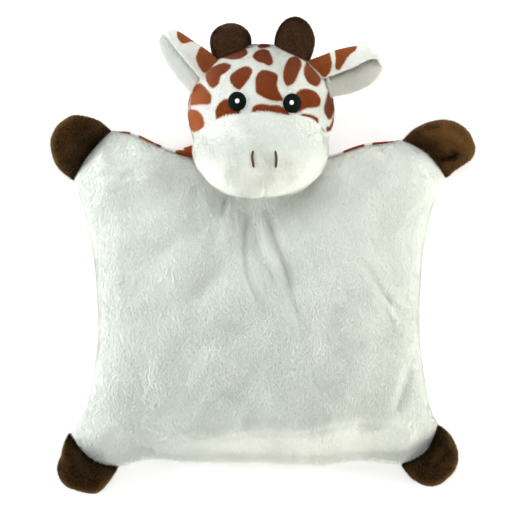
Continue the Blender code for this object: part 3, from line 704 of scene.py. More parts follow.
@dataclass(frozen=True)
class Pile:
    """Cut pile as thin blades of one face, rooted over a sheet and combed by a slow noise.

    Density is in blades a square metre. Lean is off the cloth's normal and comb is the way in
    plan, both in degrees. Sway and scatter turn the way, in radians: the first slowly over the
    cloth and the second from blade to blade.
    """

    density: float
    length: float = 0.0018
    width: float = 0.00045
    lean: float = 58.0
    comb: float = -90.0
    sway: float = 0.35
    scatter: float = 0.35
    seed: int = 1

    SWAY_SIZE: ClassVar[float] = 0.035
    LEAN_SCATTER: ClassVar[float] = 12.0
    LEAN_RANGE: ClassVar[Pair] = (0.3, 1.45)
    LENGTH_SHARES: ClassVar[Pair] = (0.6, 1.15)
    FOOT_DEPTH: ClassVar[float] = 0.00015
    LOWEST: ClassVar[float] = 0.0001
    # Painted shade darkens a blade's two feet, and its tip is paler
    FOOT_SHADE_TONES: ClassVar[Triple] = (-0.5, -0.5, 0.6)
    TONE_SCATTER: ClassVar[float] = 0.45
    MAP_START: ClassVar[float] = 0.004
    MAP_SPAN: ClassVar[float] = 0.992
    MAP_SPREAD: ClassVar[Outline] = ((-0.0012, -0.0008), (0.0012, -0.0008), (0.0, 0.0012))

    def blades(self, sheet: Sheet) -> tuple[Array, Array, dict[str, Array]]:
        """Scatter blades over the sheet.

        Each cell takes roots by its area. A blade's foot lies across its way, and its tip stands
        off the cloth by the length times the cosine of the lean.

        Args:
            sheet: The cloth that carries the pile.

        Returns:
            Three points a blade, its place on the sheet's grid for each, and the paint.
        """
        points, normals = sheet.points, sheet.normals()
        rows, columns = points.shape[:2]
        diagonals = np.cross(points[1:, 1:] - points[:-1, :-1], points[1:, :-1] - points[:-1, 1:])
        area = np.linalg.norm(diagonals, axis=-1).reshape(-1) / 2.0
        rng = np.random.default_rng(self.seed)
        count = int(area.sum() * self.density)
        bins = np.searchsorted(np.cumsum(area), rng.uniform(0.0, area.sum(), count)).clip(0, area.size - 1)
        row, column = bins // (columns - 1), bins % (columns - 1)
        down, across = rng.uniform(size=(2, count))

        def read(grid: Array) -> Array:
            """What a grid holds at each root.

            Args:
                grid: A value or a vector at each point of the sheet.

            Returns:
                The corners' values, weighed by the root's place in its cell.
            """
            grid = grid.reshape(rows, columns, -1)
            d, a = down[:, None], across[:, None]
            return ((1 - d) * ((1 - a) * grid[row, column] + a * grid[row, column + 1])
                    + d * ((1 - a) * grid[row + 1, column] + a * grid[row + 1, column + 1]))

        root, normal = read(points), unit(read(normals))
        comb = (math.radians(self.comb) + self.sway * wavy(root, self.SWAY_SIZE, self.seed + 7)
                + self.scatter * rng.normal(size=count))
        side = unit(np.cross(normal, np.stack((np.cos(comb), np.sin(comb), 0.15 + 0.0 * comb), -1)))
        way = np.cross(side, normal)
        lean = np.radians(self.lean + self.LEAN_SCATTER * rng.normal(size=count)).clip(*self.LEAN_RANGE)
        lean = lean[:, None]
        length = self.length * rng.uniform(*self.LENGTH_SHARES, (count, 1))
        tip = root + length * (np.cos(lean) * normal + np.sin(lean) * way)
        foot = root - self.FOOT_DEPTH * normal
        half = side * self.width / 2.0
        corners = np.stack((foot - half, foot + half, tip), 1).reshape(-1, 3)
        corners[:, 2] = np.maximum(corners[:, 2], self.LOWEST)
        grid_place = np.stack(((column + across) / (columns - 1), (row + down) / (rows - 1)), -1)
        spread = np.array(self.MAP_SPREAD)
        places = (self.MAP_START + self.MAP_SPAN * grid_place[:, None] + spread).reshape(-1, 2)
        paint = {name: np.repeat(read(values)[:, 0], 3) for name, values in sheet.paint.items()}
        # Painted shade at the feet, random tone, and the painted light and shade of the cloth under the blade
        paint["tone_and_shading"] = (np.tile(self.FOOT_SHADE_TONES, count) + np.repeat(self.TONE_SCATTER * rng.normal(size=count), 3)
                         + paint.get("tone_and_shading", 0.0))
        return corners, places, paint


@dataclass(frozen=True)
class Maker:
    """Puts computed shapes into the scene as finished pieces."""

    finish: Finishes
    attachment: Attachment

    WELD: ClassVar[float] = 1e-6
    COLLAPSE: ClassVar[float] = 1e-7

    def mesh_object(self, name: str, points: Array, faces: Array,
                    paint: dict[str, Array]) -> bpy.types.Object:
        """A smooth painted object.

        Args:
            name: The piece's name.
            points: Its corners.
            faces: Corner numbers of each face.
            paint: A value at each corner under each name.

        Returns:
            The object, in the scene, with its material.
        """
        mesh = bpy.data.meshes.new(name)
        mesh.from_pydata(points.reshape(-1, 3).tolist(), [], faces.tolist())
        for key in PAINTS:
            values = np.asarray(paint.get(key, np.zeros(len(mesh.vertices)))).reshape(-1)
            mesh.attributes.new(key, "FLOAT", "POINT").data.foreach_set("value", values.astype(np.float32))
        mesh.shade_smooth()
        mesh.materials.append(self.finish.made())
        return placed(name, mesh)

    def settle(self, obj: bpy.types.Object, replaces: Sequence[str]) -> None:
        """Attach a piece and report it.

        Args:
            obj: The piece.
            replaces: Solids that it stands for.
        """
        self.attachment.attach(obj)
        if replaces:
            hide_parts(*replaces)
        LOG.info("%s: %d faces", obj.name, len(obj.data.polygons))

    def shell(self, name: str, sheet: Sheet, inner: Array | float, replaces: Sequence[str],
              fill: float | None = None) -> None:
        """A closed cloth between its outer sheet and an inner one.

        Args:
            name: The piece's name.
            sheet: The outer surface.
            inner: The inner surface's points, or a thickness.
            replaces: Solids that it stands for.
            fill: How tightly it is stuffed, for a padded piece; not used.
        """
        outer = sheet.points.reshape(-1, 3)
        lining = (sheet.moved(-inner) if isinstance(inner, float) else inner).reshape(-1, 3)
        quads, loop, count = sheet.quads(), sheet.rim(), len(outer)
        following = np.roll(loop, -1)
        wall = np.stack((loop + count, following + count, following, loop), -1)
        faces = np.concatenate((quads, quads[:, ::-1] + count, wall))
        paint = {key: np.concatenate([values.reshape(-1)] * 2) for key, values in sheet.paint.items()}
        obj = self.mesh_object(name, np.concatenate((outer, lining)), faces, paint)
        self.weld(obj)
        self.settle(obj, replaces)

    def weld(self, obj: bpy.types.Object) -> None:
        """Join corners that lie on each other, which closes poles and seams, and turn faces out.

        Args:
            obj: The piece.
        """
        shape = bmesh.new()
        shape.from_mesh(obj.data)
        bmesh.ops.remove_doubles(shape, verts=shape.verts, dist=self.WELD)
        bmesh.ops.dissolve_degenerate(shape, edges=shape.edges, dist=self.COLLAPSE)
        bmesh.ops.recalc_face_normals(shape, faces=shape.faces)
        shape.to_mesh(obj.data)
        shape.free()

    def pile(self, name: str, sheet: Sheet, pile: Pile) -> None:
        """The pile of a cloth as a piece of its own, with its places on the cloth as its map.

        Args:
            name: The piece's name.
            sheet: The outer surface of the cloth.
            pile: What grows on it.
        """
        corners, places, paint = pile.blades(sheet)
        faces = np.arange(len(corners)).reshape(-1, 3)
        obj = self.mesh_object(name, corners, faces, paint)
        layer = obj.data.uv_layers.new(name="OFBake", do_init=False)
        layer.uv.foreach_set("vector", places.astype(np.float32).reshape(-1))
        self.settle(obj, ())

    def cloth(self, name: str, sheet: Sheet, inner: Array | float, solid: str, fill: float | None,
              pile: Pile) -> None:
        """A cloth and its pile.

        Args:
            name: The cloth's name.
            sheet: Its outer surface.
            inner: Its inner surface's points, or its thickness.
            solid: The solid that it stands for.
            fill: How tightly it is stuffed, or None where nothing fills it.
            pile: What grows on it.
        """
        self.shell(name, sheet, inner, [solid], fill)
        self.pile(name + "_pile", sheet, pile)


# The cushion


@dataclass(frozen=True)
class Fold:
    """A valley, or a ridge where its depth is below 0, along a line on the cushion."""

    places: Outline
    depth: float
    width: float
    fade: float = 0.25

    def height(self, plan: Array) -> Array:
        """What the fold adds to the cloth's height, or a mark of painted light and shade to its tone.

        Args:
            plan: X and Y of the cloth's points.

        Returns:
            Minus its depth times a hump across it, which fades in and out at its ends.
        """
        away, share = line_distance(plan, from_photo(self.places))
        ends = smooth_step(0.0, self.fade, share) * smooth_step(0.0, self.fade, 1.0 - share)
        return -self.depth * hump(away, self.width) * (0.15 + 0.85 * ends)


@dataclass
class Cushion:
    """The square cushion: a white front panel, a spotted back panel and the filling between them.

    Corner seams and sides are in shares of the half sizes. Folds, the ridge and the spots are
    places of the photograph. What holds the neck up and hollows the cloth under the chin is a
    width, a length and a power each. The pucker of the top side is a depth, a place and a width.
    """

    half: Pair = (0.1240, 0.1220)
    crown_height: float = 0.0440
    side_level: float = 0.0150
    corner_level: float = 0.0095
    neck_level: float = 0.0180
    hem_level: float = 0.0060
    cloth: float = 0.0020
    front_lining: float = 0.0012
    back_lining: float = 0.0010
    least_depth: float = 0.0008
    edge_inset: float = 0.0008
    top_roll: float = 0.0020
    top_reach: float = 0.0008
    ridge_rise: float = 0.0018
    ridge_width: float = 0.0055
    neck_hold: Triple = (0.0620, 0.0300, 4.0)
    chin_hollow: Triple = (0.0640, 0.0450, 2.0)
    pucker: Triple = (0.0085, -0.0470, 0.0120)
    # Middle of a patch of painted light beside the lower right paw, lifting the shade there
    lit_corner: Pair = (0.1130, -0.1050)
    patch_size: float = 0.021
    patch_gap: float = 0.0032
    filling_share: float = 0.90
    filling_lift: float = 0.0030
    filling_drop: float = 0.0075
    fill: float = 0.6
    front_waves: tuple[Wave, ...] = ((0.0007, 0.045, 3), (0.00015, 0.018, 4))
    front_pile: Pile = Pile(2.4e6, 0.0027, 0.00055, 66.0, seed=11)
    back_pile: Pile = Pile(0.5e6, seed=12)
    corner_seams: dict[str, tuple[Pair, Pair]] = field(default_factory=lambda: {
        "upper_left": ((-1.132, 0.770), (-0.907, 1.071)),
        "upper_right": ((0.864, 1.017), (1.125, 0.791)),
        "lower_right": ((1.080, -0.736), (0.863, -0.984)),
        "lower_left": ((-0.856, -0.998), (-1.146, -0.798)),
    })
    bulges: dict[str, float] = field(default_factory=lambda: {
        "upper_left": 0.0025, "upper_right": 0.0043, "lower_right": 0.0065, "lower_left": 0.0068})
    sides: dict[str, Outline] = field(default_factory=lambda: {
        "top": ((-0.798, 1.059), (-0.611, 0.981), (-0.406, 0.912), (-0.202, 0.902), (0.202, 0.902),
                (0.415, 0.914), (0.628, 0.984)),
        "right": ((1.065, 0.645), (1.014, 0.455), (0.976, 0.086), (0.974, -0.213), (1.004, -0.460),
                  (1.040, -0.640)),
        "bottom": ((0.605, -0.963), (0.403, -0.984), (0.0, -0.975), (-0.398, -0.970), (-0.685, -0.953)),
        "left": ((-1.083, -0.695), (-1.012, -0.400), (-0.984, -0.164), (-0.988, 0.000), (-1.016, 0.314),
                 (-1.077, 0.596)),
    })
    folds: tuple[Fold, ...] = (
        Fold(((245.5, 204), (243.8, 252), (248, 283), (259, 308)), 0.0012, 0.0034),
        Fold(((262.5, 200), (271.4, 231), (282, 261), (293, 297), (303.6, 333)), 0.0013, 0.0044),
        Fold(((255, 207), (262.5, 235), (271, 258), (284, 290)), -0.0016, 0.0036),
        Fold(((223, 208), (228.6, 270)), -0.0010, 0.0055),
        Fold(((225, 198), (223, 218)), 0.0014, 0.0028),
        Fold(((307, 247), (325, 297)), 0.0010, 0.0045),
        Fold(((361, 261), (376, 281), (389, 304)), 0.0014, 0.0035),
        Fold(((384, 295), (391, 306)), 0.0014, 0.0016),
        Fold(((386, 301), (398, 326)), -0.0010, 0.0022),
        Fold(((340, 330), (366, 350)), 0.0014, 0.0110),
        Fold(((411, 360), (403, 388), (395, 415)), 0.0028, 0.0040),
        Fold(((416, 256), (405, 265)), 0.0012, 0.0020),
        Fold(((423, 199), (411, 208), (400, 217)), -0.0012, 0.0035),
        Fold(((426, 208), (407, 224)), 0.0012, 0.0040),
        Fold(((127, 140), (129, 158)), 0.0012, 0.0035),
        Fold(((120, 177), (129, 175), (138, 174)), 0.0008, 0.0030),
        Fold(((155, 160), (180, 180), (205, 208)), 0.0016, 0.0120),
        Fold(((80, 192), (83.5, 207)), 0.0016, 0.0028),
        Fold(((104, 178), (112, 194)), -0.0010, 0.0060),
        Fold(((117, 270), (120, 286)), -0.0010, 0.0060),
        Fold(((186, 216), (202, 236)), 0.0010, 0.0060),
        Fold(((83, 423), (86, 434)), 0.0010, 0.0030),
        Fold(((207, 451), (208, 461)), 0.0012, 0.0020),
        Fold(((231, 451), (232, 461)), 0.0012, 0.0020),
        Fold(((290, 436), (294, 459)), 0.0016, 0.0022),
        Fold(((308, 448), (315, 461)), 0.0014, 0.0020),
        Fold(((360, 446), (374, 450)), 0.0010, 0.0040),
    )
    ridge: Outline = ((110, 452), (159, 450), (194, 447), (215, 441), (236, 436), (262, 432), (309, 434),
                      (332, 427), (355, 421), (395, 424))
    top_spots: tuple[Outline, ...] = (
        ((110, 131), (116, 126), (122, 127), (130, 131), (130, 136), (118, 132)),
        ((139, 135), (146, 136), (154, 141), (153, 145), (140, 139)),
        ((155, 143), (161, 145), (161, 148), (156, 147)),
        ((183, 147), (194, 146), (194, 151.2), (186, 151.2)),
        ((175, 151.5), (193.5, 154), (194, 164), (184, 160)),
        ((342, 148), (350, 143), (363.3, 140), (363.3, 149), (344, 153)),
        ((372.4, 139), (391, 133), (403, 132), (400, 139), (373, 146)),
    )
    cells: int = 200
    filling_cells: int = 40

    def corner(self, name: str) -> tuple[Array, Array, Array, Array]:
        """Where a corner seam lies in plan.

        Args:
            name: The corner.

        Returns:
            Its start, its end, the direction along it and the direction out of the cushion.
        """
        start, end = (np.array(share) * self.half for share in self.corner_seams[name])
        along = unit(end - start)
        return start, end, along, np.array((-along[1], along[0]))

    def corner_run(self, name: str, low: float, high: float, cells: int) -> Array:
        """Points along a corner seam.

        Args:
            name: The corner.
            low: Share of the seam at which the points begin.
            high: The share at which they end.
            cells: Number of steps.

        Returns:
            Plan points: the seam's chord plus a parabola of the corner's bulge.
        """
        start, end, _, out = self.corner(name)
        share = np.linspace(low, high, cells + 1)[:, None]
        bulge = 4.0 * self.bulges[name] * share * (1.0 - share) - self.edge_inset
        return start + (end - start) * share + out * bulge

    def edge(self, side: str, before: str, after: str, inward: Pair, cells: int) -> Array:
        """One side of the plan, from the middle of a corner seam to the middle of the next.

        Args:
            side: The side's name.
            before: The corner that it starts at.
            after: The corner that it ends at.
            inward: What is added to its places.
            cells: Number of steps.

        Returns:
            Plan points: half a corner seam, a smooth curve and half the next corner seam.
        """
        part = cells // 10
        first = self.corner_run(before, 0.5, 1.0, part)
        last = self.corner_run(after, 0.0, 0.5, part)
        knots = np.array(self.sides[side]) * self.half + np.array(inward)
        middle = smooth_curve(np.concatenate((first[-1:], knots, last[:1])), cells - 2 * part)
        return np.concatenate((first[:-1], middle, last[1:]))

    def plan(self, cells: int, roll: float = 0.0) -> tuple[Array, Array, Array]:
        """Plan points, and each one's place across and up between -1 and 1.

        A Coons patch: the sum of the two ways to rule between opposite sides, less the corners.

        Args:
            cells: Cells each way.
            roll: How far the top side is drawn in.

        Returns:
            The plan's X and Y, the places across and the places up.
        """
        inset = self.edge_inset
        top = self.edge("top", "upper_left", "upper_right", (0.0, self.top_reach), cells)
        right = self.edge("right", "upper_right", "lower_right", (-inset, 0.0), cells)[::-1]
        bottom = self.edge("bottom", "lower_right", "lower_left", (0.0, inset), cells)[::-1]
        left = self.edge("left", "lower_left", "upper_left", (inset, 0.0), cells)
        share = np.linspace(0.0, 1.0, cells + 1)
        top[:, 1] -= roll * smooth_step(0.10, 0.16, share) * smooth_step(0.10, 0.16, 1.0 - share)
        across, up = share[None, :, None], share[:, None, None]
        corners = ((1 - up) * (1 - across) * bottom[0] + (1 - up) * across * bottom[-1]
                   + up * (1 - across) * top[0] + up * across * top[-1])
        ruled = ((1 - up) * bottom[None] + up * top[None]
                 + (1 - across) * left[:, None] + across * right[:, None])
        across, up = np.meshgrid(2.0 * share - 1.0, 2.0 * share - 1.0)
        return ruled - corners, across, up

    @staticmethod
    def fullness(across: Array, up: Array, power: float) -> Array:
        """1 in the middle and 0 on the seam: the product of 1 less each place's power, rooted."""
        return ((1.0 - np.abs(across) ** power) * (1.0 - np.abs(up) ** power)).clip(0.0) ** 0.6

    def near_neck(self, plan: Array, width: float, length: float, power: float) -> Array:
        """1 at the middle of the neck, fading sideways by a power and down by a square."""
        sideways = np.abs(plan[..., 0] / width) ** power
        return np.exp(-sideways - ((Head.NECK[1] - plan[..., 1]) / length) ** 2.0)

    def level(self, plan: Array, across: Array, up: Array) -> Array:
        """The seam's height: low at the corners and the hem, raised at the neck.

        Args:
            plan: X and Y of the points.
            across: Each one's place across, between -1 and 1.
            up: Each one's place up, between -1 and 1.

        Returns:
            The height, by smooth steps between its levels.
        """
        hem = smooth_step(0.70, 1.0, -up)
        level = self.side_level + (self.hem_level - self.side_level) * hem
        level = level + (self.neck_level - self.side_level) * self.near_neck(plan, *self.neck_hold)
        return level + (self.corner_level - level) * smooth_step(0.50, 0.79, np.abs(across * up))

    def front_height(self, plan: Array, across: Array, up: Array) -> Array:
        """The front's height without its folds.

        Args:
            plan: X and Y of the points.
            across: Each one's place across, between -1 and 1.
            up: Each one's place up, between -1 and 1.

        Returns:
            The seam's height, plus the rise times the fullness, less at the hem and under the chin.
        """
        rise = self.crown_height - self.side_level - self.cloth
        hem = 0.25 + 0.75 * smooth_step(-0.93, -0.76, up)
        hollow = 1.0 - 0.50 * self.near_neck(plan, *self.chin_hollow)
        full = self.fullness(across, up, 2.2) * hem * hollow
        edge = (1.0 - np.maximum(np.abs(across), np.abs(up)) ** 30.0).clip(0.0) ** 0.5
        return self.level(plan, across, up) + rise * full + self.cloth * edge

    def back_height(self, plan: Array, across: Array, up: Array) -> Array:
        """The underside: it drops from the seam and lies flat on the table."""
        share = 1.0 - 1.30 * self.fullness(across, up, 6.0)
        return np.maximum(self.level(plan, across, up) * share, TABLE_GAP)

    def front_sheet(self) -> Sheet:
        """The front panel with its folds, the ridge over the hem and the slack of the cloth.

        Returns:
            The sheet. Its relief fades out towards the seam, and its height falls to the seam's
            in the last fiftieth of the way from the middle.
        """
        plan, across, up = self.plan(self.cells, self.top_roll)
        relief = np.zeros(plan.shape[:2])
        for fold in self.folds:
            relief += fold.height(plan)
        away, _ = line_distance(plan, from_photo(self.ridge))
        relief += self.ridge_rise * hump(away, self.ridge_width)
        relief += slack(plan, self.front_waves)
        inside = self.fullness(across, up, 2.0) ** 0.5
        height = np.maximum(self.front_height(plan, across, up) + relief * inside,
                            self.back_height(plan, across, up) + self.least_depth)
        seam = self.level(plan, across, up)
        edge = smooth_step(0.0, 0.02, 1.0 - np.maximum(np.abs(across), np.abs(up)))
        height = seam + (height - seam) * (1.0 - (1.0 - edge) ** 2.0)
        return Sheet(raised(plan, height), False, self.front_paint(plan))

    def front_paint(self, plan: Array) -> dict[str, Array]:
        """Painted light on the front: cream light at the hem, its ridge, the right side and a corner.

        Args:
            plan: X and Y of the front's points.

        Returns:
            The painted cream light, which is the greatest of its places, and the tone of painted highlights,
            which is their sum.
        """
        line = from_photo(self.ridge)
        below = np.interp(plan[..., 0], line[:, 0], line[:, 1]) - plan[..., 1]
        # Painted warm light on the hem and its ridge, towards the middle of the bottom
        hem = np.maximum(0.9 * smooth_step(0.0008, 0.0042, below), 0.8 * hump(below + 0.0010, 0.0030))
        hem = hem * (smooth_step(-0.0560, -0.0300, plan[..., 0])
                     * smooth_step(-0.1120, -0.0930, -plan[..., 0]))
        # Painted warm light on the right side
        right = 0.35 * smooth_step(0.03, 0.09, plan[..., 0])
        # Painted light by the lower right paw, where its shade falls
        corner = hump(np.linalg.norm(plan - self.lit_corner, axis=-1), 0.0200)
        # Painted highlights on the ridge, near the hem's lower edge, and by the corner
        tone_and_shading = 1.6 * hump(below + 0.0008, 0.0022) + 0.9 * hump(below - 0.0200, 0.0060) + corner
        return {"lit_cream": np.maximum(np.maximum(hem, right), 0.7 * corner), "tone_and_shading": tone_and_shading}

    def back_sheet(self) -> Sheet:
        """The back panel, which climbs round the top side to the front panel's seam.

        Returns:
            The sheet, with the seen patches painted near its edge and others under the toy.
        """
        outer, across, up = self.plan(self.cells)
        depth, place, width = self.pucker
        outer[..., 1] += depth * hump(outer[..., 0] - place, width) * smooth_step(0.90, 1.0, up)
        front, _, _ = self.plan(self.cells, self.top_roll)
        points = raised(outer, self.back_height(outer, across, up))
        seam = raised(front[-1], self.level(front, across, up)[-1])
        turn = np.linspace(0.0, 1.0, 9)[1:, None, None]
        roll = points[-1] + (seam - points[-1]) * turn
        lift = np.linalg.norm(seam - points[-1], axis=-1)[:, None] * 0.20
        roll[..., 2:] += lift * np.sin(math.pi * turn)
        points = np.concatenate((points, roll))
        seen = patch_depth(points[..., :2], [rounded(spot) for spot in self.top_spots]) / MM
        under = cell_depth(points, self.patch_size, self.patch_gap, 5) / MM
        ring = np.concatenate((np.maximum(np.abs(across), np.abs(up)), np.ones((len(turn), self.cells + 1))))
        return Sheet(points, True, {"spot": np.where(ring > 0.97, seen, under)})

    def build(self) -> None:
        """Make both panels, their pile and the filling."""
        white, spotted = Maker(Finishes.WHITE, Riding("cushion")), Maker(Finishes.SPOTTED, Riding("cushion"))
        white.cloth("cushion_front", self.front_sheet(), self.front_lining, "body_front_panel", self.fill,
                    self.front_pile)
        spotted.cloth("cushion_back", self.back_sheet(), self.back_lining, "body_back_panel", self.fill,
                      self.back_pile)
        plan, across, up = self.plan(self.filling_cells)
        share = self.filling_share
        middle = plan[self.filling_cells // 2, self.filling_cells // 2]
        plan, across, up = middle + (plan - middle) * share, across * share, up * share
        bottom = self.back_height(plan, across, up) + self.filling_lift
        top = np.maximum(self.front_height(plan, across, up) - self.filling_drop, bottom + 0.0010)
        Maker(Finishes.FILLING, Riding("cushion")).shell(
            "cushion_filling", Sheet(raised(plan, top)), raised(plan, bottom), ["body_filling"], self.fill)


@dataclass
class Paw:
    """A stuffed paw sewn to a corner: a front and a back cloth, and the filling between them.

    The outline is in millimetres across and out of the corner seam. Shade and marks are painted
    light and shade on the pile, and dim is painted shade away from the rim.
    """

    corner: str
    outline: Outline
    folds: tuple[Fold, ...] = ()
    # Painted light over the whole pile, painted shade where below 0
    shade: float = 0.0
    # Painted shade away from the rim
    painted_shade: float = 0.0
    # Lines of painted light and shade
    shading_marks: tuple[Fold, ...] = ()
    rise: float = 0.0125
    drop: float = 0.0085
    tuck: float = 0.0016
    seam_end: float = 0.0004
    front_lining: float = 0.0010
    back_lining: float = 0.0008
    bend_start: float = 0.0005
    bend_length: float = 0.0070
    filling_share: float = 0.78
    fill: float = 0.7
    lumps: tuple[Wave, ...] = ((0.0005, 0.014, 21),)
    rings: int = 26
    columns: int = 120

    def edge_line(self, cushion: Cushion) -> Array:
        """The paw's closed edge in its seam's frame.

        Args:
            cushion: The cushion that the paw is sewn to.

        Returns:
            Places across and out: the outline, then the parabola of the corner seam, less the tuck.
        """
        start, end, _, _ = cushion.corner(self.corner)
        half = float(np.linalg.norm(end - start)) / 2.0
        outer = np.array(self.outline) * MM
        across = np.linspace(half - self.seam_end, -half + self.seam_end, 15)
        out = cushion.bulges[self.corner] * (1.0 - (across / half) ** 2.0) - self.tuck
        seam = np.stack((across, out), -1)
        return np.concatenate((seam[-1:], outer, seam))

    def surface(self, cushion: Cushion, share: float, side: float) -> Sheet:
        """One cloth: rings from the middle out to the edge, raised by how far they are from it.

        Args:
            cushion: The cushion that the paw is sewn to.
            share: How much of the plan and the height is used.
            side: 1 for the front and -1 for the back.

        Returns:
            The cloth, with painted shade along the seam and painted light at the rim.
        """
        start, end, along, out = cushion.corner(self.corner)
        half = float(np.linalg.norm(end - start)) / 2.0
        line = self.edge_line(cushion)
        edge = smooth_curve(line, self.columns)
        middle = np.array((0.5 * (line[:, 0].min() + line[:, 0].max()),
                           0.46 * line[:, 1].max() + 0.54 * line[:, 1].min()))
        ring = np.sin(np.linspace(0.0, 1.0, self.rings + 1) * math.pi / 2.0)[:, None, None]
        plan = middle + (edge[None] - middle) * ring * share
        flat = (start + end) / 2.0 + plan[..., :1] * along + plan[..., 1:] * out
        full = (1.0 - ring[..., 0] ** 2.6).clip(0.0) ** 0.55 * np.ones(plan.shape[:2])
        away = plan[..., 1] - cushion.bulges[self.corner] * (1.0 - (plan[..., 0] / half) ** 2.0) + self.tuck
        height = side * (self.rise if side > 0 else self.drop) * full * share
        if side > 0:
            height = height + slack(plan, self.lumps) * full
            height = height + sum((fold.height(flat) * full for fold in self.folds), np.zeros_like(full))
            height = height * (0.08 + 0.92 * smooth_step(0.0, 0.014, away))
        height = np.maximum(cushion.corner_level + height, TABLE_GAP)
        # Painted light at the rim and painted shade along the seam, with the paw's painted light and its
        # marks
        rim = smooth_step(0.70, 1.0, ring[..., 0]) * smooth_step(0.004, 0.010, away)
        tone_and_shading = self.shade + 0.6 * rim - 1.2 * hump(away, 0.0030)
        tone_and_shading = tone_and_shading + sum((mark.height(flat) for mark in self.shading_marks), np.zeros_like(tone_and_shading))
        paint = {"tone_and_shading": tone_and_shading, "painted_shade": self.painted_shade * (1.0 - rim)}
        return Sheet(raised(flat, height), side < 0, paint)

    def build(self, cushion: Cushion) -> None:
        """Make both cloths, their pile and the filling.

        Args:
            cushion: The cushion that the paw is sewn to.
        """
        start, end, _, out = cushion.corner(self.corner)
        middle = np.array((*((start + end) / 2.0), cushion.corner_level))
        away = np.array((*out, 0.0))
        first = middle + away * (cushion.bulges[self.corner] + self.bend_start)
        name = self.corner + "_paw"
        bending = Bending("cushion", name, tuple(first), tuple(first + away * self.bend_length))
        maker = Maker(Finishes.BROWN, bending)
        comb = math.degrees(math.atan2(out[1], out[0]))
        front_pile = Pile(9.0e6, 0.0026, 0.00045, 54.0, comb, 0.8, 0.5, 31 + len(self.outline))
        back_pile = Pile(5.0e6, 0.0020, 0.00045, 60.0, comb, 0.8, 0.5, 41)
        for side, way, lining, pile in (("_front", 1.0, self.front_lining, front_pile),
                                        ("_back", -1.0, self.back_lining, back_pile)):
            sheet = self.surface(cushion, 1.0, way)
            maker.cloth(name + side, sheet, lining, name + side + "_panel", self.fill, pile)
        top, bottom = (self.surface(cushion, self.filling_share, way) for way in (1.0, -1.0))
        Maker(Finishes.FILLING, bending).shell(name + "_stuffing", top, bottom.points, [name + "_filling"],
                                               self.fill)


# The head


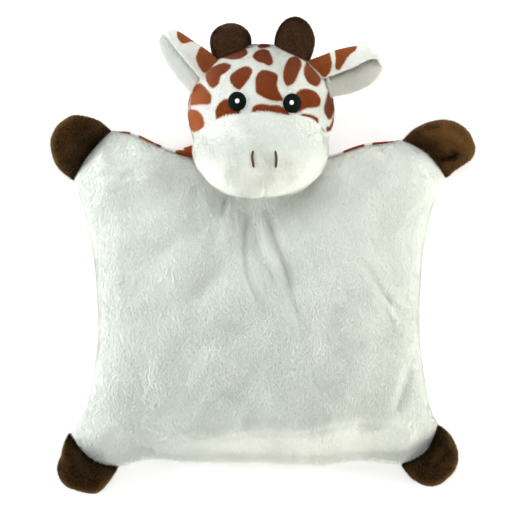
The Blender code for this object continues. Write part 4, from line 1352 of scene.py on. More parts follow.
@dataclass
class Head:
    """The stuffed head: spotted crown, white muzzle and spotted back, seamed together.

    NECK is a point on the line that the head nods about, and SKULL is the skull's middle. Seams
    lie at turns about X, in degrees from +Z towards +Y. Spots are places of the photograph.
    """

    NECK: ClassVar[Array] = np.array((0.0, 0.112344, 0.0180))
    SKULL: ClassVar[Array] = np.array((0.0008, 0.143644, 0.0415))
    half_width: float = 0.0553
    top_length: float = 0.0520
    chin_length: float = 0.0656
    front_depth: float = 0.0435
    back_depth: float = 0.0420
    muzzle_half: Triple = (0.0500, 0.0370, 0.0360)
    muzzle_offset: Triple = (-0.0008, -0.0265, 0.0165)
    core_offset: Triple = (0.0, -0.0130, 0.0045)
    blend: float = 30.0
    dent: float = 0.0020
    pile_reach: float = 0.0007
    crease_depth: float = 0.0002
    crease_width: float = 0.0009
    filling_depth: float = 0.0050
    lining: float = 0.0012
    chin_clearance: float = 44.0
    nape_clearance: float = 108.0
    cheek_waists: Pair = (0.048, 0.070)
    crown_seam: float = 20.0
    top_seam: float = 112.0
    under_seam: float = 235.0
    patch_size: float = 0.017
    patch_gap: float = 0.0030
    chin_seam: Outline = ((264.6, 204), (264.6, 184))
    muzzle_waves: tuple[Wave, ...] = ((0.0006, 0.040, 14), (0.0003, 0.016, 15))
    crown_pile: Pile = Pile(8.0e6, 0.0018, 0.00040, seed=51)
    muzzle_pile: Pile = Pile(6.0e6, 0.0018, 0.00040, seed=52)
    nape_pile: Pile = Pile(2.2e6, 0.0016, 0.00045, seed=53)
    fill: float = 0.9
    spots: tuple[Outline, ...] = (
        ((220, 57), (246, 50), (248, 53), (240, 59)),
        ((206, 75), (216, 66), (228, 64), (231, 66), (228, 71), (221, 76), (218, 85), (213, 88), (208, 83)),
        ((230, 78), (238, 70), (248, 67), (252, 70), (250, 78), (244, 86), (240, 90), (233, 85)),
        ((253, 57), (261, 50), (268, 51), (271, 56), (272, 64), (269, 66), (264, 64), (256, 61)),
        ((257, 76), (261, 71), (271, 72), (277, 75), (277, 86), (281, 96), (283, 100), (278, 101), (263, 97),
         (257, 93), (256, 86)),
        ((285, 66), (290, 58), (298, 58), (301, 63), (298, 73), (291, 85), (287, 86), (284, 81)),
        ((304, 67), (309, 60), (314, 60), (316, 66), (320, 80), (317, 86), (311, 85), (304, 76)),
        ((191, 100), (195, 86), (200, 84), (206, 88), (212, 98), (211, 103), (201, 104), (191, 104)),
        ((188, 114), (191, 109), (197, 110), (204, 119), (204, 126), (195, 131), (190, 129), (187, 121)),
        ((216, 113), (220, 103), (226, 99), (233, 101), (240, 114), (238, 118), (230, 116), (223, 119),
         (218, 119)),
        ((252, 113), (254, 106), (260, 104), (269, 105), (280, 106), (286, 110), (289, 117), (260, 116)),
        ((293, 100), (298, 91), (306, 89), (316, 93), (320, 100), (319, 105), (306, 108), (294, 113)),
        ((326, 98), (329, 91), (333, 95), (334, 103), (333, 113), (329, 119), (325, 114)),
        ((299, 116), (318, 120), (316, 124), (300, 119)),
        ((327, 126), (331, 131), (329, 134), (326, 129)),
        ((282, 44), (299, 49), (307, 55), (299, 53), (284, 49)),
        ((259, 47.5), (261, 44.5), (271, 43), (270, 46.5)),
    )

    @property
    def core(self) -> Array:
        """The point inside the head that its panels are seen from."""
        return self.SKULL + np.array(self.core_offset)

    def neck_distance(self, points: Array) -> Array:
        """Distance from the wedge of space in which the cushion's neck edge turns.

        Args:
            points: Places in space.

        Returns:
            The greater of the distances from the wedge's two faces, seen from the side.
        """
        y, z = points[..., 1] - self.NECK[1], points[..., 2] - self.NECK[2]
        distances = []
        for clearance, side in ((self.chin_clearance, 1.0), (self.nape_clearance, -1.0)):
            angle = math.radians(clearance)
            run = -y * math.cos(angle) + side * z * math.sin(angle)
            off = y * math.sin(angle) + side * z * math.cos(angle)
            distances.append(np.where(run > 0.0, off, np.hypot(y, z) * np.sign(off)))
        return np.maximum(*distances)

    def field(self, points: Array) -> Array:
        """How far out a place is against the head's surface.

        Args:
            points: Places in space.

        Returns:
            Less than 1 inside, 1 on the surface and more outside: the smooth least of an oval
            skull, waisted at the cheeks, and an oval muzzle, and the smooth greatest of that and
            the neck's wedge.
        """
        x, y, z = np.moveaxis(points - self.SKULL, -1, 0)
        left_waist, right_waist = self.cheek_waists
        x = x / (1.0 - np.where(x > 0.0, right_waist, left_waist) * hump(y + 0.0195, 0.0100))
        chin = y < 0.0
        length, power = np.where(chin, self.chin_length, self.top_length), np.where(chin, 2.5, 2.0)
        plan = (np.abs(x / self.half_width) ** power + np.abs(y / length) ** power) ** (2.0 / power)
        skull = np.sqrt(plan + (z / np.where(z > 0.0, self.front_depth, self.back_depth)) ** 2)
        from_muzzle = points - self.SKULL - np.array(self.muzzle_offset)
        muzzle = np.linalg.norm(from_muzzle / self.muzzle_half, axis=-1)
        form = -np.logaddexp(-self.blend * skull, -self.blend * muzzle) / self.blend
        wedge = 1.0 + (self.dent - self.neck_distance(points)) / self.half_width
        return np.logaddexp(self.blend * form, self.blend * wedge) / self.blend

    def reach(self, near: Array, far: Array, place: Callable[[Array], Array]) -> Array:
        """Where rays leave the head, found by halving.

        Args:
            near: A measure on each ray that lies inside.
            far: A measure on each ray that lies outside.
            place: Turns measures on the rays into points.

        Returns:
            The greatest measures found inside.
        """
        for _ in range(HALVINGS):
            middle = (near + far) / 2.0
            inside = self.field(place(middle)) < 1.0
            near, far = np.where(inside, middle, near), np.where(inside, far, middle)
        return near

    def along(self, directions: Array, offset: float = 0.0) -> Array:
        """Surface points along directions from the core.

        Args:
            directions: Unit vectors.
            offset: How far the points are moved out.

        Returns:
            The points, none of them lower than the table's gap.
        """
        core, shape = self.core, directions.shape[:-1]
        near = self.reach(np.zeros(shape), np.full(shape, 2.0 * self.chin_length),
                          lambda measure: core + directions * measure[..., None])
        points = core + directions * (near + offset)[..., None]
        points[..., 2] = np.maximum(points[..., 2], TABLE_GAP)
        return points

    def on_face(self, plan: Array) -> tuple[Array, Array]:
        """Surface points straight above plan points.

        Args:
            plan: X and Y of the points.

        Returns:
            The points and the outward normals there.
        """
        low = np.full(plan.shape[:-1], self.SKULL[2])
        height = self.reach(low, low + 2.0 * self.front_depth, lambda measure: raised(plan, measure))
        points = raised(plan, height)
        return points, self.normal(points)

    def normal(self, points: Array) -> Array:
        """Outward normals: the field's slope over a tenth of a millimetre each way."""
        steps = np.eye(3) * 0.0001
        return unit(np.stack([self.field(points + step) - self.field(points - step) for step in steps], -1))

    @staticmethod
    def direction(turn: Array, lean: Array) -> Array:
        """A direction turned about X from +Z towards +Y, and leaning towards +X, in degrees."""
        turn, lean = np.broadcast_arrays(np.radians(turn), np.radians(lean))
        return np.stack((np.sin(lean), np.cos(lean) * np.sin(turn), np.cos(lean) * np.cos(turn)), -1)

    def seam_turn(self, lean: Array) -> Array:
        """Turn of the seam between crown and muzzle.

        Args:
            lean: Degrees towards +X.

        Returns:
            The seam's turn, higher at the middle, lower right of it, wavering a little, and much
            lower at both cheeks.
        """
        middle = (1.2 * hump(lean - 6.0, 16.0) - 1.5 * hump(lean - 38.0, 16.0)
                  + 0.8 * wavy(lean[:, None], 2.5, 8))
        left_drop, right_drop = 30.0 * smooth_step(36.0, 88.0, -lean), 22.0 * smooth_step(52.0, 84.0, lean)
        return self.crown_seam + middle - left_drop - right_drop

    def panel(self, start: Array | float, end: Array | float, rows: int, columns: int) -> Sheet:
        """A panel between two seams, pressed in along both.

        Args:
            start: Turn of the first seam, in degrees.
            end: Turn of the last seam.
            rows: Rows of cells.
            columns: Columns of cells.

        Returns:
            The sheet, with the seams' creases.
        """
        lean = np.linspace(-90.0, 90.0, columns + 1)
        share = np.linspace(0.0, 1.0, rows + 1)[:, None]
        start, end = start + 0.0 * lean, end + 0.0 * lean
        turn = start + (end - start) * share
        points = self.along(self.direction(turn, lean[None, :]), -self.pile_reach)
        reach = self.back_depth * np.cos(np.radians(lean)) + 0.004
        first, last = np.radians(turn - start) * reach, np.radians(end - turn) * reach
        crease = sum(self.crease_depth * hump(away, self.crease_width) for away in (first, last))
        return Sheet(points).pressed(crease)

    def hidden_spots(self, points: Array) -> Array:
        """Depth in millimetres inside the patches that the photograph doesn't show."""
        return cell_depth(points, self.patch_size, self.patch_gap, 9) / MM

    def crown(self) -> Sheet:
        """The crown panel, painted with the patches seen on the forehead and others behind them.

        Returns:
            The sheet, paler at its left edge.
        """
        lean = np.linspace(-90.0, 90.0, 181)
        sheet = self.panel(self.seam_turn(lean), self.top_seam, 120, 180)
        plan = sheet.points[..., :2]
        seen = patch_depth(plan, [rounded(spot) for spot in self.spots]) / MM
        height = smooth_step(0.050, 0.056, sheet.points[..., 2])
        depth = np.where(height > 0.5, seen, np.maximum(seen, self.hidden_spots(sheet.points)))
        # Painted light on the left edge, which pales the cloth and its spots
        left = smooth_step(0.030, 0.052, -plan[..., 0])
        return Sheet(sheet.points, False, {"spot": depth, "tone_and_shading": 1.4 * left, "lit_cream": 0.85 * left})

    def muzzle(self) -> Sheet:
        """The muzzle panel, with the short seam up the chin and a soft dip between the nostrils.

        Returns:
            The sheet, with painted cream light low down and at the left.
        """
        lean = np.linspace(-90.0, 90.0, 181)
        sheet = self.panel(self.under_seam, self.seam_turn(lean) + 360.0, 150, 180)
        plan = sheet.points[..., :2]
        chin, share = line_distance(plan, from_photo(self.chin_seam))
        dart = 0.0009 * hump(chin, 0.0015) * (1.0 - 0.8 * share)
        bridge = 0.0005 * hump(plan[..., 0] - 0.0035, 0.004) * hump(plan[..., 1] - 0.109, 0.010)
        # Painted cream light: a little all over, more low down and at the left
        low, left = smooth_step(-0.118, -0.098, -plan[..., 1]), smooth_step(0.022, 0.040, -plan[..., 0])
        sheet.paint["lit_cream"] = 0.20 + np.maximum(0.70 * low, 0.35 * left)
        return sheet.pressed(dart + bridge + slack(sheet.points, self.muzzle_waves))

    def nape(self) -> Sheet:
        """The back of the head in the same cloth as the crown."""
        sheet = self.panel(self.top_seam, self.under_seam, 90, 140)
        return Sheet(sheet.points, False, {"spot": self.hidden_spots(sheet.points)})

    def build(self) -> None:
        """Make the three panels, their pile and the filling."""
        white, spotted = Maker(Finishes.WHITE, Riding("head")), Maker(Finishes.SPOTTED, Riding("head"))
        for maker, name, sheet, solid, pile in (
                (spotted, "head_crown", self.crown(), "head_crown_panel", self.crown_pile),
                (white, "head_muzzle", self.muzzle(), "head_muzzle_panel", self.muzzle_pile),
                (spotted, "head_nape", self.nape(), "head_back_panel", self.nape_pile)):
            maker.cloth(name, sheet, self.lining, solid, self.fill, pile)
        turn, lean = np.linspace(0.0, 360.0, 61)[:, None], np.linspace(-90.0, 90.0, 41)[None, :]
        inner = Sheet(self.along(self.direction(turn, lean), -self.filling_depth))
        Maker(Finishes.FILLING, Riding("head")).shell(
            "head_stuffing", inner, inner.points + 0.3 * (self.core - inner.points), ["head_filling"],
            self.fill)


@dataclass
class Horn:
    """A stuffed horn of very dark plush that stands on the crown.

    Its place is in shares of the skull's half width and of the length from its middle to its top.
    """

    side: str
    place: Pair
    height_share: float
    lean: float
    radius: float = 0.0143
    height: float = 0.0262
    pile_reach: float = 0.0011
    shoulder: float = 0.0068
    root_depth: float = 0.0085
    dome_share: float = 0.62
    taper: float = 0.22
    lump: float = 0.025
    lining: float = 0.0012
    filling_share: float = 0.82
    fill: float = 0.9
    cover_pile: Pile = Pile(9.0e6, 0.0020, 0.00040, 54.0, sway=1.2, scatter=0.5, seed=61)

    def surface(self, head: Head, share: float) -> Array:
        """The dome: a quarter oval over a straight side, turned about its own leaning axis.

        Args:
            head: The head that it stands on.
            share: How much of the radius and the height is used.

        Returns:
            Rows from the top to the root by columns round the axis.
        """
        way = np.array((self.place[0] * head.half_width,
                        self.place[1] * head.top_length - head.core_offset[1], -head.core_offset[2]))
        base = head.along(unit(way)[None])[0]
        axis = unit(np.array((self.lean, 1.0, 0.12)))
        across = unit(np.cross(axis, (0.0, 0.0, 1.0)))
        ahead = np.cross(across, axis)
        height = self.height * self.height_share - self.pile_reach
        drop = np.linspace(0.0, 1.0, 41)
        dome = np.minimum(drop / self.dome_share, 1.0) * math.pi / 2.0
        straight = np.maximum((drop - self.dome_share) / (1.0 - self.dome_share), 0.0)
        radius = self.radius * np.sin(dome) * (1.0 - self.taper * straight ** 2)
        level = (self.shoulder + (height - self.shoulder) * np.cos(dome)
                 - (self.shoulder + self.root_depth) * straight)
        turn = np.linspace(0.0, 2.0 * math.pi, 97)
        round_way = np.cos(turn)[:, None] * across + np.sin(turn)[:, None] * ahead
        lump = 1.0 + self.lump * np.sin(3.0 * turn + 1.0)[None, :] * np.sin(dome)[:, None]
        return (base + share * (radius[:, None] * lump)[..., None] * round_way[None]
                + (share * level)[:, None, None] * axis)

    def build(self, head: Head) -> None:
        """Make the cover, its pile and the filling.

        Args:
            head: The head that it stands on.
        """
        name = self.side + "_horn"
        Maker(Finishes.DARK, Riding("head")).cloth(name, Sheet(self.surface(head, 1.0)), self.lining,
                                                   name + "_cover", self.fill, self.cover_pile)
        inner = self.surface(head, self.filling_share)
        axis_points = inner.mean(axis=1, keepdims=True)
        Maker(Finishes.FILLING, Riding("head")).shell(
            name + "_stuffing", Sheet(inner), inner + 0.5 * (axis_points - inner), [name + "_filling"],
            self.fill)


@dataclass
class Ear:
    """An ear of two cloths whose upper edge folds forward over its white inside.

    Its edges are in millimetres along and across the ear from its origin, in the same number of
    places each. Cup is the depth of its trough, and dim is painted shade on the inner and the outer cloth.
    """

    side: str
    origin: Pair
    along: Pair
    upper: Outline
    lower: Outline
    lip: Outline
    spots: tuple[Outline, ...]
    cup: float
    # Painted shade on the inner and the outer cloth
    painted_shade: Pair
    base_height: float = 0.0475
    climb: float = 0.10
    cloth: float = 0.0013
    lip_height: float = 0.0050
    gap: float = 0.00005
    patch_size: float = 0.015
    patch_gap: float = 0.0030
    bend_start: float = 0.0005
    bend_length: float = 0.0080
    inner_pile: Pile = Pile(4.0e6, 0.0013, 0.00035, seed=71)
    outer_pile: Pile = Pile(4.0e6, 0.0013, 0.00035, seed=72)
    columns: int = 90
    rows: int = 70

    def middle_surface(self) -> Array:
        """The surface between the two cloths.

        Across the ear, a curve runs from the lower edge through a shallow trough to the upper
        edge, turns over it, and comes back above itself to the lip's free edge. Its knots slide
        along the ear with the three measured edges, and its height shrinks towards the tip.

        Returns:
            Rows along the ear by columns across it.
        """
        stations = np.linspace(0.0, 1.0, len(self.upper))
        t = np.sin(np.linspace(0.0, 1.0, self.rows + 1) * math.pi / 2.0)
        (low_u, low_v), (up_u, up_v), (lip_u, lip_v) = (
            curve_through(stations, np.array(places) * MM, t).T
            for places in (self.lower, self.upper, self.lip))
        flat = 1.0 - t ** 5.0
        height = self.lip_height * flat
        knots = (
            (low_u, low_v, self.cup * flat),
            (low_u * 0.75 + up_u * 0.25, low_v * 0.75 + up_v * 0.25, 0.10 * self.cup * flat),
            (low_u * 0.48 + up_u * 0.52, low_v * 0.48 + up_v * 0.52, (0.0006 - 0.45 * self.cup) * flat),
            (low_u * 0.22 + up_u * 0.78, low_v * 0.22 + up_v * 0.78, (0.0013 - 0.35 * self.cup) * flat),
            (low_u * 0.06 + up_u * 0.94, low_v * 0.06 + up_v * 0.94, 0.18 * height),
            (up_u, up_v, 0.55 * height),
            (up_u * 0.94 + lip_u * 0.06, up_v * 0.90 + lip_v * 0.10, 0.90 * height),
            (up_u * 0.60 + lip_u * 0.40, up_v * 0.60 + lip_v * 0.40, 1.12 * height),
            (lip_u, lip_v, 0.98 * height),
        )
        place = np.linspace(0.0, 1.0, self.columns + 1)
        at = np.linspace(0.0, 1.0, len(knots))
        grid = np.stack([np.stack([knot[axis] for knot in knots]) for axis in range(3)], -1)
        weights = curve_through(at, np.eye(len(knots)), place)
        return np.einsum("ck,kra->rca", weights, grid)

    def in_space(self, local: Array) -> Array:
        """Points of the ear's own frame set into the toy's frame.

        Args:
            local: Places along, across and over the ear.

        Returns:
            The places in space: the ear climbs evenly from its base along its way.
        """
        along = unit(np.array(self.along))
        across = np.array((along[1], -along[0])) if self.side == "left" else np.array((-along[1], along[0]))
        plan = np.array(self.origin) + local[..., :1] * along + local[..., 1:2] * across
        height = self.base_height + self.climb * local[..., 0] + local[..., 2]
        return raised(plan, height)

    def build(self) -> None:
        """Make the white inside and the spotted outside with their pile.

        Both are as far from the middle surface as the cloth is thick, thinner towards the edges.
        """
        middle = self.in_space(self.middle_surface())
        turned = self.side == "right"
        normal = Sheet(middle, turned).normals()
        share = np.linspace(-1.0, 1.0, middle.shape[1])
        along = np.linspace(0.0, 1.0, middle.shape[0])
        edge = ((1.0 - np.abs(share) ** 16.0)[None, :] * (1.0 - along ** 24.0)[:, None]).clip(0.0) ** 0.5
        thick = (self.cloth * (0.25 + 0.75 * edge))[..., None]
        # The inside is painted paler all over as painted light, and both cloths carry painted shade
        grid = np.ones(middle.shape[:2])
        inner = Sheet(middle + normal * thick, turned, {"tone_and_shading": grid, "painted_shade": self.painted_shade[0] * grid})
        outer = Sheet(middle - normal * thick, not turned, {"painted_shade": self.painted_shade[1] * grid})
        plan = outer.points[..., :2]
        lip_side = (share[None, :] > 0.0) | (share[None, :] < -0.92) | (along[:, None] > 0.80)
        seen = patch_depth(plan, [rounded(spot) for spot in self.spots]) / MM
        behind = cell_depth(outer.points, self.patch_size, self.patch_gap, 17) / MM
        outer.paint["spot"] = np.where(lip_side, seen, behind)
        start = np.array((*self.origin, self.base_height))
        way = np.array((*unit(np.array(self.along)), 0.0))
        name = self.side + "_ear"
        bending = Bending("head", name, tuple(start - way * self.bend_start),
                          tuple(start + way * self.bend_length))
        Maker(Finishes.WHITE, bending).cloth(name + "_inside", inner, middle + normal * self.gap,
                                             name + "_inner_panel", None, self.inner_pile)
        Maker(Finishes.SPOTTED, bending).cloth(name + "_outside", outer, middle - normal * self.gap,
                                               name + "_outer_panel", None, self.outer_pile)


@dataclass
class Eye:
    """An embroidered eye: a domed patch of satin stitch with a small white one on it."""

    side: str
    place: Pair
    shine_place: Pair
    radius: float = 0.0068
    shine_radius: float = 0.0017
    height_share: float = 1.07
    stitch: float = 0.00042
    stitch_rise: float = 0.00010
    seats: Pair = (0.0004, 0.0013)
    rises: Pair = (0.0011, 0.0006)
    turns: Pair = (35.0, -20.0)
    linings: Pair = (0.0012, 0.0005)

    def patch(self, head: Head, place: Pair, radius: float, seat: float, rise: float, turn: float) -> Sheet:
        """A round patch on the face: rings about its middle, domed, with a ridge for each stitch.

        Args:
            head: The head that it is sewn to.
            place: Its middle in the photograph.
            radius: Its radius.
            seat: Height of its edge over the cloth.
            rise: Height of its dome over that.
            turn: Way of the stitches in degrees.

        Returns:
            The sheet.
        """
        middle = from_photo([place])[0]
        ring = np.sin(np.linspace(0.0, 1.0, 25) * math.pi / 2.0)[:, None]
        angle = -np.linspace(0.0, 2.0 * math.pi, 97)[None, :]
        ragged = 1.0 + 0.012 * np.sin(37.0 * angle)
        plan = middle + radius * (ring * ragged)[..., None] * np.stack(
            (np.cos(angle), self.height_share * np.sin(angle)), -1)
        points, normal = head.on_face(plan)
        away = (plan - middle) @ np.array((-math.sin(math.radians(turn)), math.cos(math.radians(turn))))
        stitches = self.stitch_rise * np.abs(np.sin(math.pi * away / self.stitch)) * (1.0 - ring ** 8)
        lift = seat + (rise * (1.0 - ring ** 3.0).clip(0.0) ** 0.5 + stitches)
        return Sheet(points + normal * lift[..., None])

    def build(self, head: Head) -> None:
        """Make the black patch and the white one.

        Args:
            head: The head that they are sewn to.
        """
        names = (("_eye_patch", "_eye"), ("_eye_shine", "_eye_highlight"))
        threads = (Finishes.BLACK_THREAD, Finishes.WHITE_THREAD)
        middles, radii = (self.place, self.shine_place), (self.radius, self.shine_radius)
        for (name, solid), thread, place, radius, seat, rise, turn, lining in zip(
                names, threads, middles, radii, self.seats, self.rises, self.turns, self.linings):
            sheet = self.patch(head, place, radius, seat, rise, turn)
            Maker(thread, Riding("head")).shell(self.side + name, sheet, lining, [self.side + solid])


@dataclass
class Nostril:
    """A nostril: a short bar of close stitches down the muzzle."""

    side: str
    places: Outline
    radius: float = 0.0010
    lift: float = 0.0006

    def build(self, head: Head) -> None:
        """Make the bar: a round profile carried down the face, with a ridge for each stitch.

        Args:
            head: The head that it is sewn to.
        """
        points, normal = head.on_face(smooth_curve(from_photo(self.places), 60))
        along = unit(np.gradient(points, axis=0))
        across = np.cross(along, normal)
        share = np.linspace(-1.0, 1.0, 61)
        ridges = 1.0 + 0.10 * np.sin(60.0 * share)
        radius = self.radius * (1.0 - np.abs(share) ** 6.0).clip(0.0) ** 0.5 * ridges
        turn = np.linspace(0.0, 2.0 * math.pi, 17)
        circle = (np.cos(turn)[None, :, None] * across[:, None]
                  + 0.8 * np.sin(turn)[None, :, None] * normal[:, None])
        middle = points + normal * self.lift
        sheet = Sheet(middle[:, None] + radius[:, None, None] * circle)
        Maker(Finishes.BROWN_THREAD, Riding("head")).shell(
            self.side + "_nostril_bar", sheet, middle[:, None] + 0.4 * radius[:, None, None] * circle,
            [self.side + "_nostril"])


# Each paw: its corner, outline, folds, painted light over the whole pile (painted shade below 0), painted
# shade away from the rim, and marks of painted light and shade
PAWS = (
    Paw("upper_left", ((-22.6, 6.3), (-21.4, 15.2), (-16.9, 23.2), (-9.5, 30.8), (-2, 33.1), (6.5, 32.3),
                       (14.3, 29), (20.6, 20.6), (23.3, 12), (23.7, 4.4)), (), 0.05, 0.45,
        (Fold(((58, 166), (66, 174), (75, 178)), -0.9, 0.0040),
         Fold(((60, 140), (74, 148), (70, 162)), -0.5, 0.0034))),
    Paw("upper_right", ((-20.3, 6.6), (-17.2, 16.4), (-13.5, 23.9), (-6.6, 31.2), (1.5, 35.2), (10.9, 36),
                        (18.1, 33.5), (24.6, 28.8), (26.7, 23.4), (25.8, 16.8), (23.4, 7.6)),
        (Fold(((432, 160), (446, 159), (461, 154)), 0.0040, 0.0038),
         Fold(((411, 144), (428, 141), (443, 137), (457, 141), (466, 149)), -0.0014, 0.0030),
         Fold(((415, 138), (430, 131), (444, 129)), 0.0012, 0.0030)), 0.90, 0.0,
        (Fold(((412, 137), (428, 128), (444, 124)), 1.0, 0.0036),
         Fold(((437, 158), (450, 158), (462, 156)), 1.4, 0.0030),
         Fold(((408, 145), (427, 140), (442, 134.5), (460, 139)), -0.9, 0.0024),
         Fold(((434, 143), (446, 144), (458, 148)), -0.7, 0.0060),
         Fold(((438, 162), (450, 160), (463, 153)), 1.3, 0.0032),
         Fold(((441, 171), (454, 165)), -0.9, 0.0034))),
    Paw("lower_right", ((-20.6, 6.3), (-19.5, 13.2), (-16.7, 20.1), (-11, 26.9), (-2.8, 31), (4.2, 31.3),
                        (11.2, 30.1), (17, 26.5), (20.8, 21), (22.7, 13.9), (22.2, 6.1)), (), -0.15, 0.45,
        (Fold(((428, 465), (444, 447)), -0.6, 0.0026), Fold(((437, 473), (452, 456)), -0.6, 0.0026))),
    Paw("lower_left", ((-21.7, 7.4), (-21.2, 14.1), (-20.3, 20.4), (-18.3, 24.9), (-13.1, 28.5), (-5, 31.5),
                       (2.9, 33), (9.8, 31.3), (15.8, 25.3), (18.4, 16.8), (21.5, 7.4)),
        (Fold(((77, 455), (88, 468), (100, 476)), 0.0024, 0.0040),), -0.15, 0.55,
        (Fold(((70, 455), (83, 454)), -0.8, 0.0042),)),
)

# The cup of the trough and the painted shade of the inner and the outer cloth come last
EARS = (
    Ear("left", (-0.0425, 0.1710), (-0.69, 0.72),
        ((-10, 15.0), (7.1, 15.2), (21.9, 12.4), (36.3, 9.0), (42.5, 5.2), (44.9, 0.3)),
        ((-10, -14.0), (4.0, -15.4), (21.6, -14.2), (34.7, -10.9), (42.5, -6.4), (44.9, -0.3)),
        ((-10, -3.0), (2, -2.2), (17, -1.2), (32, 0.0), (40, 1.0), (44.4, 0.4)),
        (((177.7, 31.0), (190, 36.0), (197.5, 42.0), (189.6, 42.2), (183.6, 43.9), (178.2, 38.4)),
         ((202, 47), (205.3, 49), (211, 52), (217, 56), (217, 66.6), (204.2, 73.1), (198.3, 64.5),
          (196.1, 58), (197.7, 52.5))), 0.0010, (0.0, 0.14)),
    Ear("right", (0.0480, 0.1710), (0.987, 0.163),
        ((-10, 12.5), (-1.0, 14.2), (11.7, 16.8), (26.6, 17.5), (36.0, 15.2), (42.2, 8.2), (43.6, 0.8)),
        ((-10, -14.5), (2.0, -16.0), (17.7, -15.4), (27.7, -13.6), (37.4, -9.2), (43.0, -3.4),
         (43.9, 0.4)),
        ((-10, -2.6), (-3.0, -1.6), (10.0, 0.9), (24.0, 3.8), (33.0, 7.0), (41.0, 6.5), (43.4, 0.9)),
        (((306, 58), (329, 52.5), (330.9, 59.4), (330.9, 68.6), (328.4, 74), (324.6, 77.3), (318, 72)),
         ((335.5, 49), (348, 45.5), (356, 45), (356, 49.1), (350, 54.5), (345.8, 59.4), (342.5, 65.4),
          (337, 70.8), (335.2, 67.5), (335.6, 59.4))), 0.0036, (0.34, 0.09)),
)

HORNS = (
    Horn("left", (-0.414, 0.930), 0.78, -0.08, 0.0149),
    Horn("right", (0.450, 0.930), 1.00, 0.09),
)

EYES = (
    Eye("left", (237.3, 102.0), (237.8, 101.8)),
    Eye("right", (291.8, 103.8), (290.8, 103.4)),
)

NOSTRILS = (
    Nostril("left", ((253.2, 150.8), (252.2, 157.0), (252.9, 162.0), (253.7, 167.8))),
    Nostril("right", ((275.0, 150.8), (276.0, 158.0), (275.6, 168.0))),
)

NEUTRAL = (1.0, 1.0, 1.0)
WARM = (1.0, 0.98, 0.91)


@dataclass(frozen=True)
class Lamp:
    """A round area lamp aimed at the toy, with its power in watts."""

    name: str
    place: Triple
    size: float
    power: float
    tint: Triple
    aim: Triple = (0.0, 0.03, 0.02)

    def build(self) -> None:
        """Hang the lamp at its place and turn it to its aim."""
        data = bpy.data.lights.new(self.name, "AREA")
        data.shape, data.size, data.energy, data.color = "DISK", self.size, self.power, self.tint
        obj = placed(self.name, data)
        obj.location = self.place
        obj.rotation_euler = (Vector(self.aim) - obj.location).to_track_quat("-Z", "Y").to_euler()


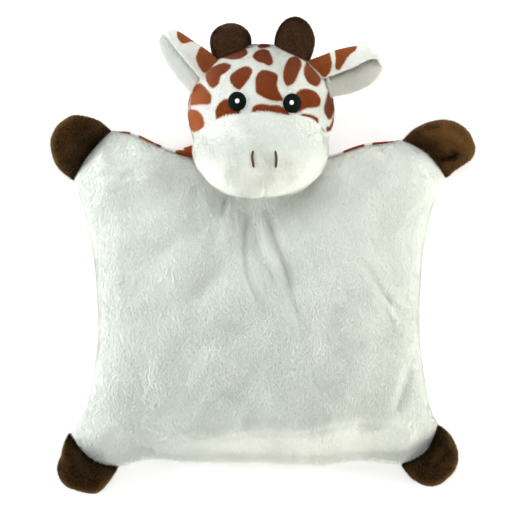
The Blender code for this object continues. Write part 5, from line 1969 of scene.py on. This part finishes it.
@dataclass
class Studio:
    """A pale table, soft light from both sides and a camera that looks straight down."""

    centre: Pair = (-0.00375, 0.0375)
    width: float = 0.3825
    lens: float = 1600.0
    sensor: float = 36.0
    plane: float = 0.0150
    ceiling: float = 0.01
    walls: float = 1.24
    ceiling_tint: Triple = (0.90, 1.0, 0.92)
    floor_half: float = 6.0
    floor_level: float = -0.0002
    floor_colour: Triple = (0.80, 0.80, 0.80)
    floor_glow: float = 0.55
    lamps: tuple[Lamp, ...] = (
        Lamp("left lamp", (-1.7, 0.4, 0.34), 0.8, 41.0, NEUTRAL),
        Lamp("right lamp", (1.7, 0.1, 0.38), 0.8, 27.0, WARM),
        Lamp("near lamp", (0.2, -1.7, 0.36), 0.8, 20.0, (1.0, 0.99, 0.95)),
        Lamp("top lamp", (0.06, 0.40, 0.38), 0.4, 1.5, NEUTRAL),
    )

    def camera(self) -> None:
        """A long lens over the middle of the photograph, as far off as its frame's width needs."""
        data = bpy.data.cameras.new("camera")
        data.lens, data.sensor_width = self.lens, self.sensor
        obj = placed("camera", data)
        obj.location = (*self.centre, self.plane + self.width * self.lens / self.sensor)
        data.clip_end = 100.0
        bpy.context.scene.camera = obj

    def floor(self) -> None:
        """A wide white table that shows white to the camera and keeps the toy's shadow."""
        mesh = bpy.data.meshes.new("floor")
        signs = ((-1, -1), (1, -1), (1, 1), (-1, 1))
        corners = [(x * self.floor_half, y * self.floor_half, self.floor_level) for x, y in signs]
        mesh.from_pydata(corners, [], [(0, 1, 2, 3)])
        nodes = Nodes(bpy.data.materials.new("floor"))
        rays = nodes.node("LightPath", {}, {})
        seen = nodes.math("MAXIMUM", rays.outputs["Is Camera Ray"], rays.outputs["Is Glossy Ray"])
        nodes.finished(tint(self.floor_colour), 1.0, Specular_IOR_Level=0.0)
        nodes.feed(nodes.shader.inputs["Emission Color"], nodes.mix(seen, (0, 0, 0, 1), (1, 1, 1, 1)))
        nodes.shader.inputs["Emission Strength"].default_value = self.floor_glow
        mesh.materials.append(nodes.owner)
        obj = placed("floor", mesh)

    def sky(self) -> None:
        """White walls round a darker ceiling: the light grows with the square of 1 less the height.

        The left wall is neutral and the right one warm, and the camera sees plain white.
        """
        nodes = Nodes(bpy.data.worlds.new("studio"))
        way = nodes.node("SeparateXYZ", {}, {"Vector": nodes.node("TexCoord", {}, {}).outputs["Generated"]})
        low = 1.0 - Shade(nodes, way.outputs["Z"]).clamped()
        right = (Shade(nodes, way.outputs["X"]) - 0.8 * Shade(nodes, way.outputs["Y"])).step(-0.6, 0.6)
        wall = nodes.mix(right, tint(NEUTRAL), tint(WARM))
        light = nodes.mix(low.step(0.35, 1.0), tint(self.ceiling_tint), wall)
        seen = Shade(nodes, nodes.node("LightPath", {}, {}).outputs["Is Camera Ray"])
        background = nodes.tree.nodes["Background"]
        nodes.feed(background.inputs["Color"], nodes.mix(seen, light, (1.0, 1.0, 1.0, 1.0)))
        strength = self.ceiling + self.walls * low * low
        nodes.feed(background.inputs["Strength"], strength + seen * (1.0 - strength))
        bpy.context.scene.world = nodes.owner

    def build(self) -> None:
        """Set the camera, the table, the lamps, the world and the view."""
        self.camera()
        self.floor()
        for lamp in self.lamps:
            lamp.build()
        self.sky()
        bpy.context.scene.view_settings.view_transform = "Standard"


def dress_seams() -> None:
    """Give the solids that stay, the sewn seams inside the joints, their thread."""
    for name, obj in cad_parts.items():
        if name.endswith("_seam"):
            finish = Finishes.BROWN_THREAD if "paw" in name else Finishes.WHITE_THREAD
            obj.data.materials.clear()
            obj.data.materials.append(finish.made())
            LOG.info("%s: dressed as thread", name)


def main() -> None:
    """Build the toy and its studio."""
    logging.basicConfig(level=logging.INFO, format="%(message)s")
    Studio().build()
    cushion, head = Cushion(), Head()
    cushion.build()
    for paw in PAWS:
        paw.build(cushion)
    head.build()
    for horn in HORNS:
        horn.build(head)
    for ear in EARS:
        ear.build()
    for part in (*EYES, *NOSTRILS):
        part.build(head)
    dress_seams()


if __name__ == "__main__":
    main()
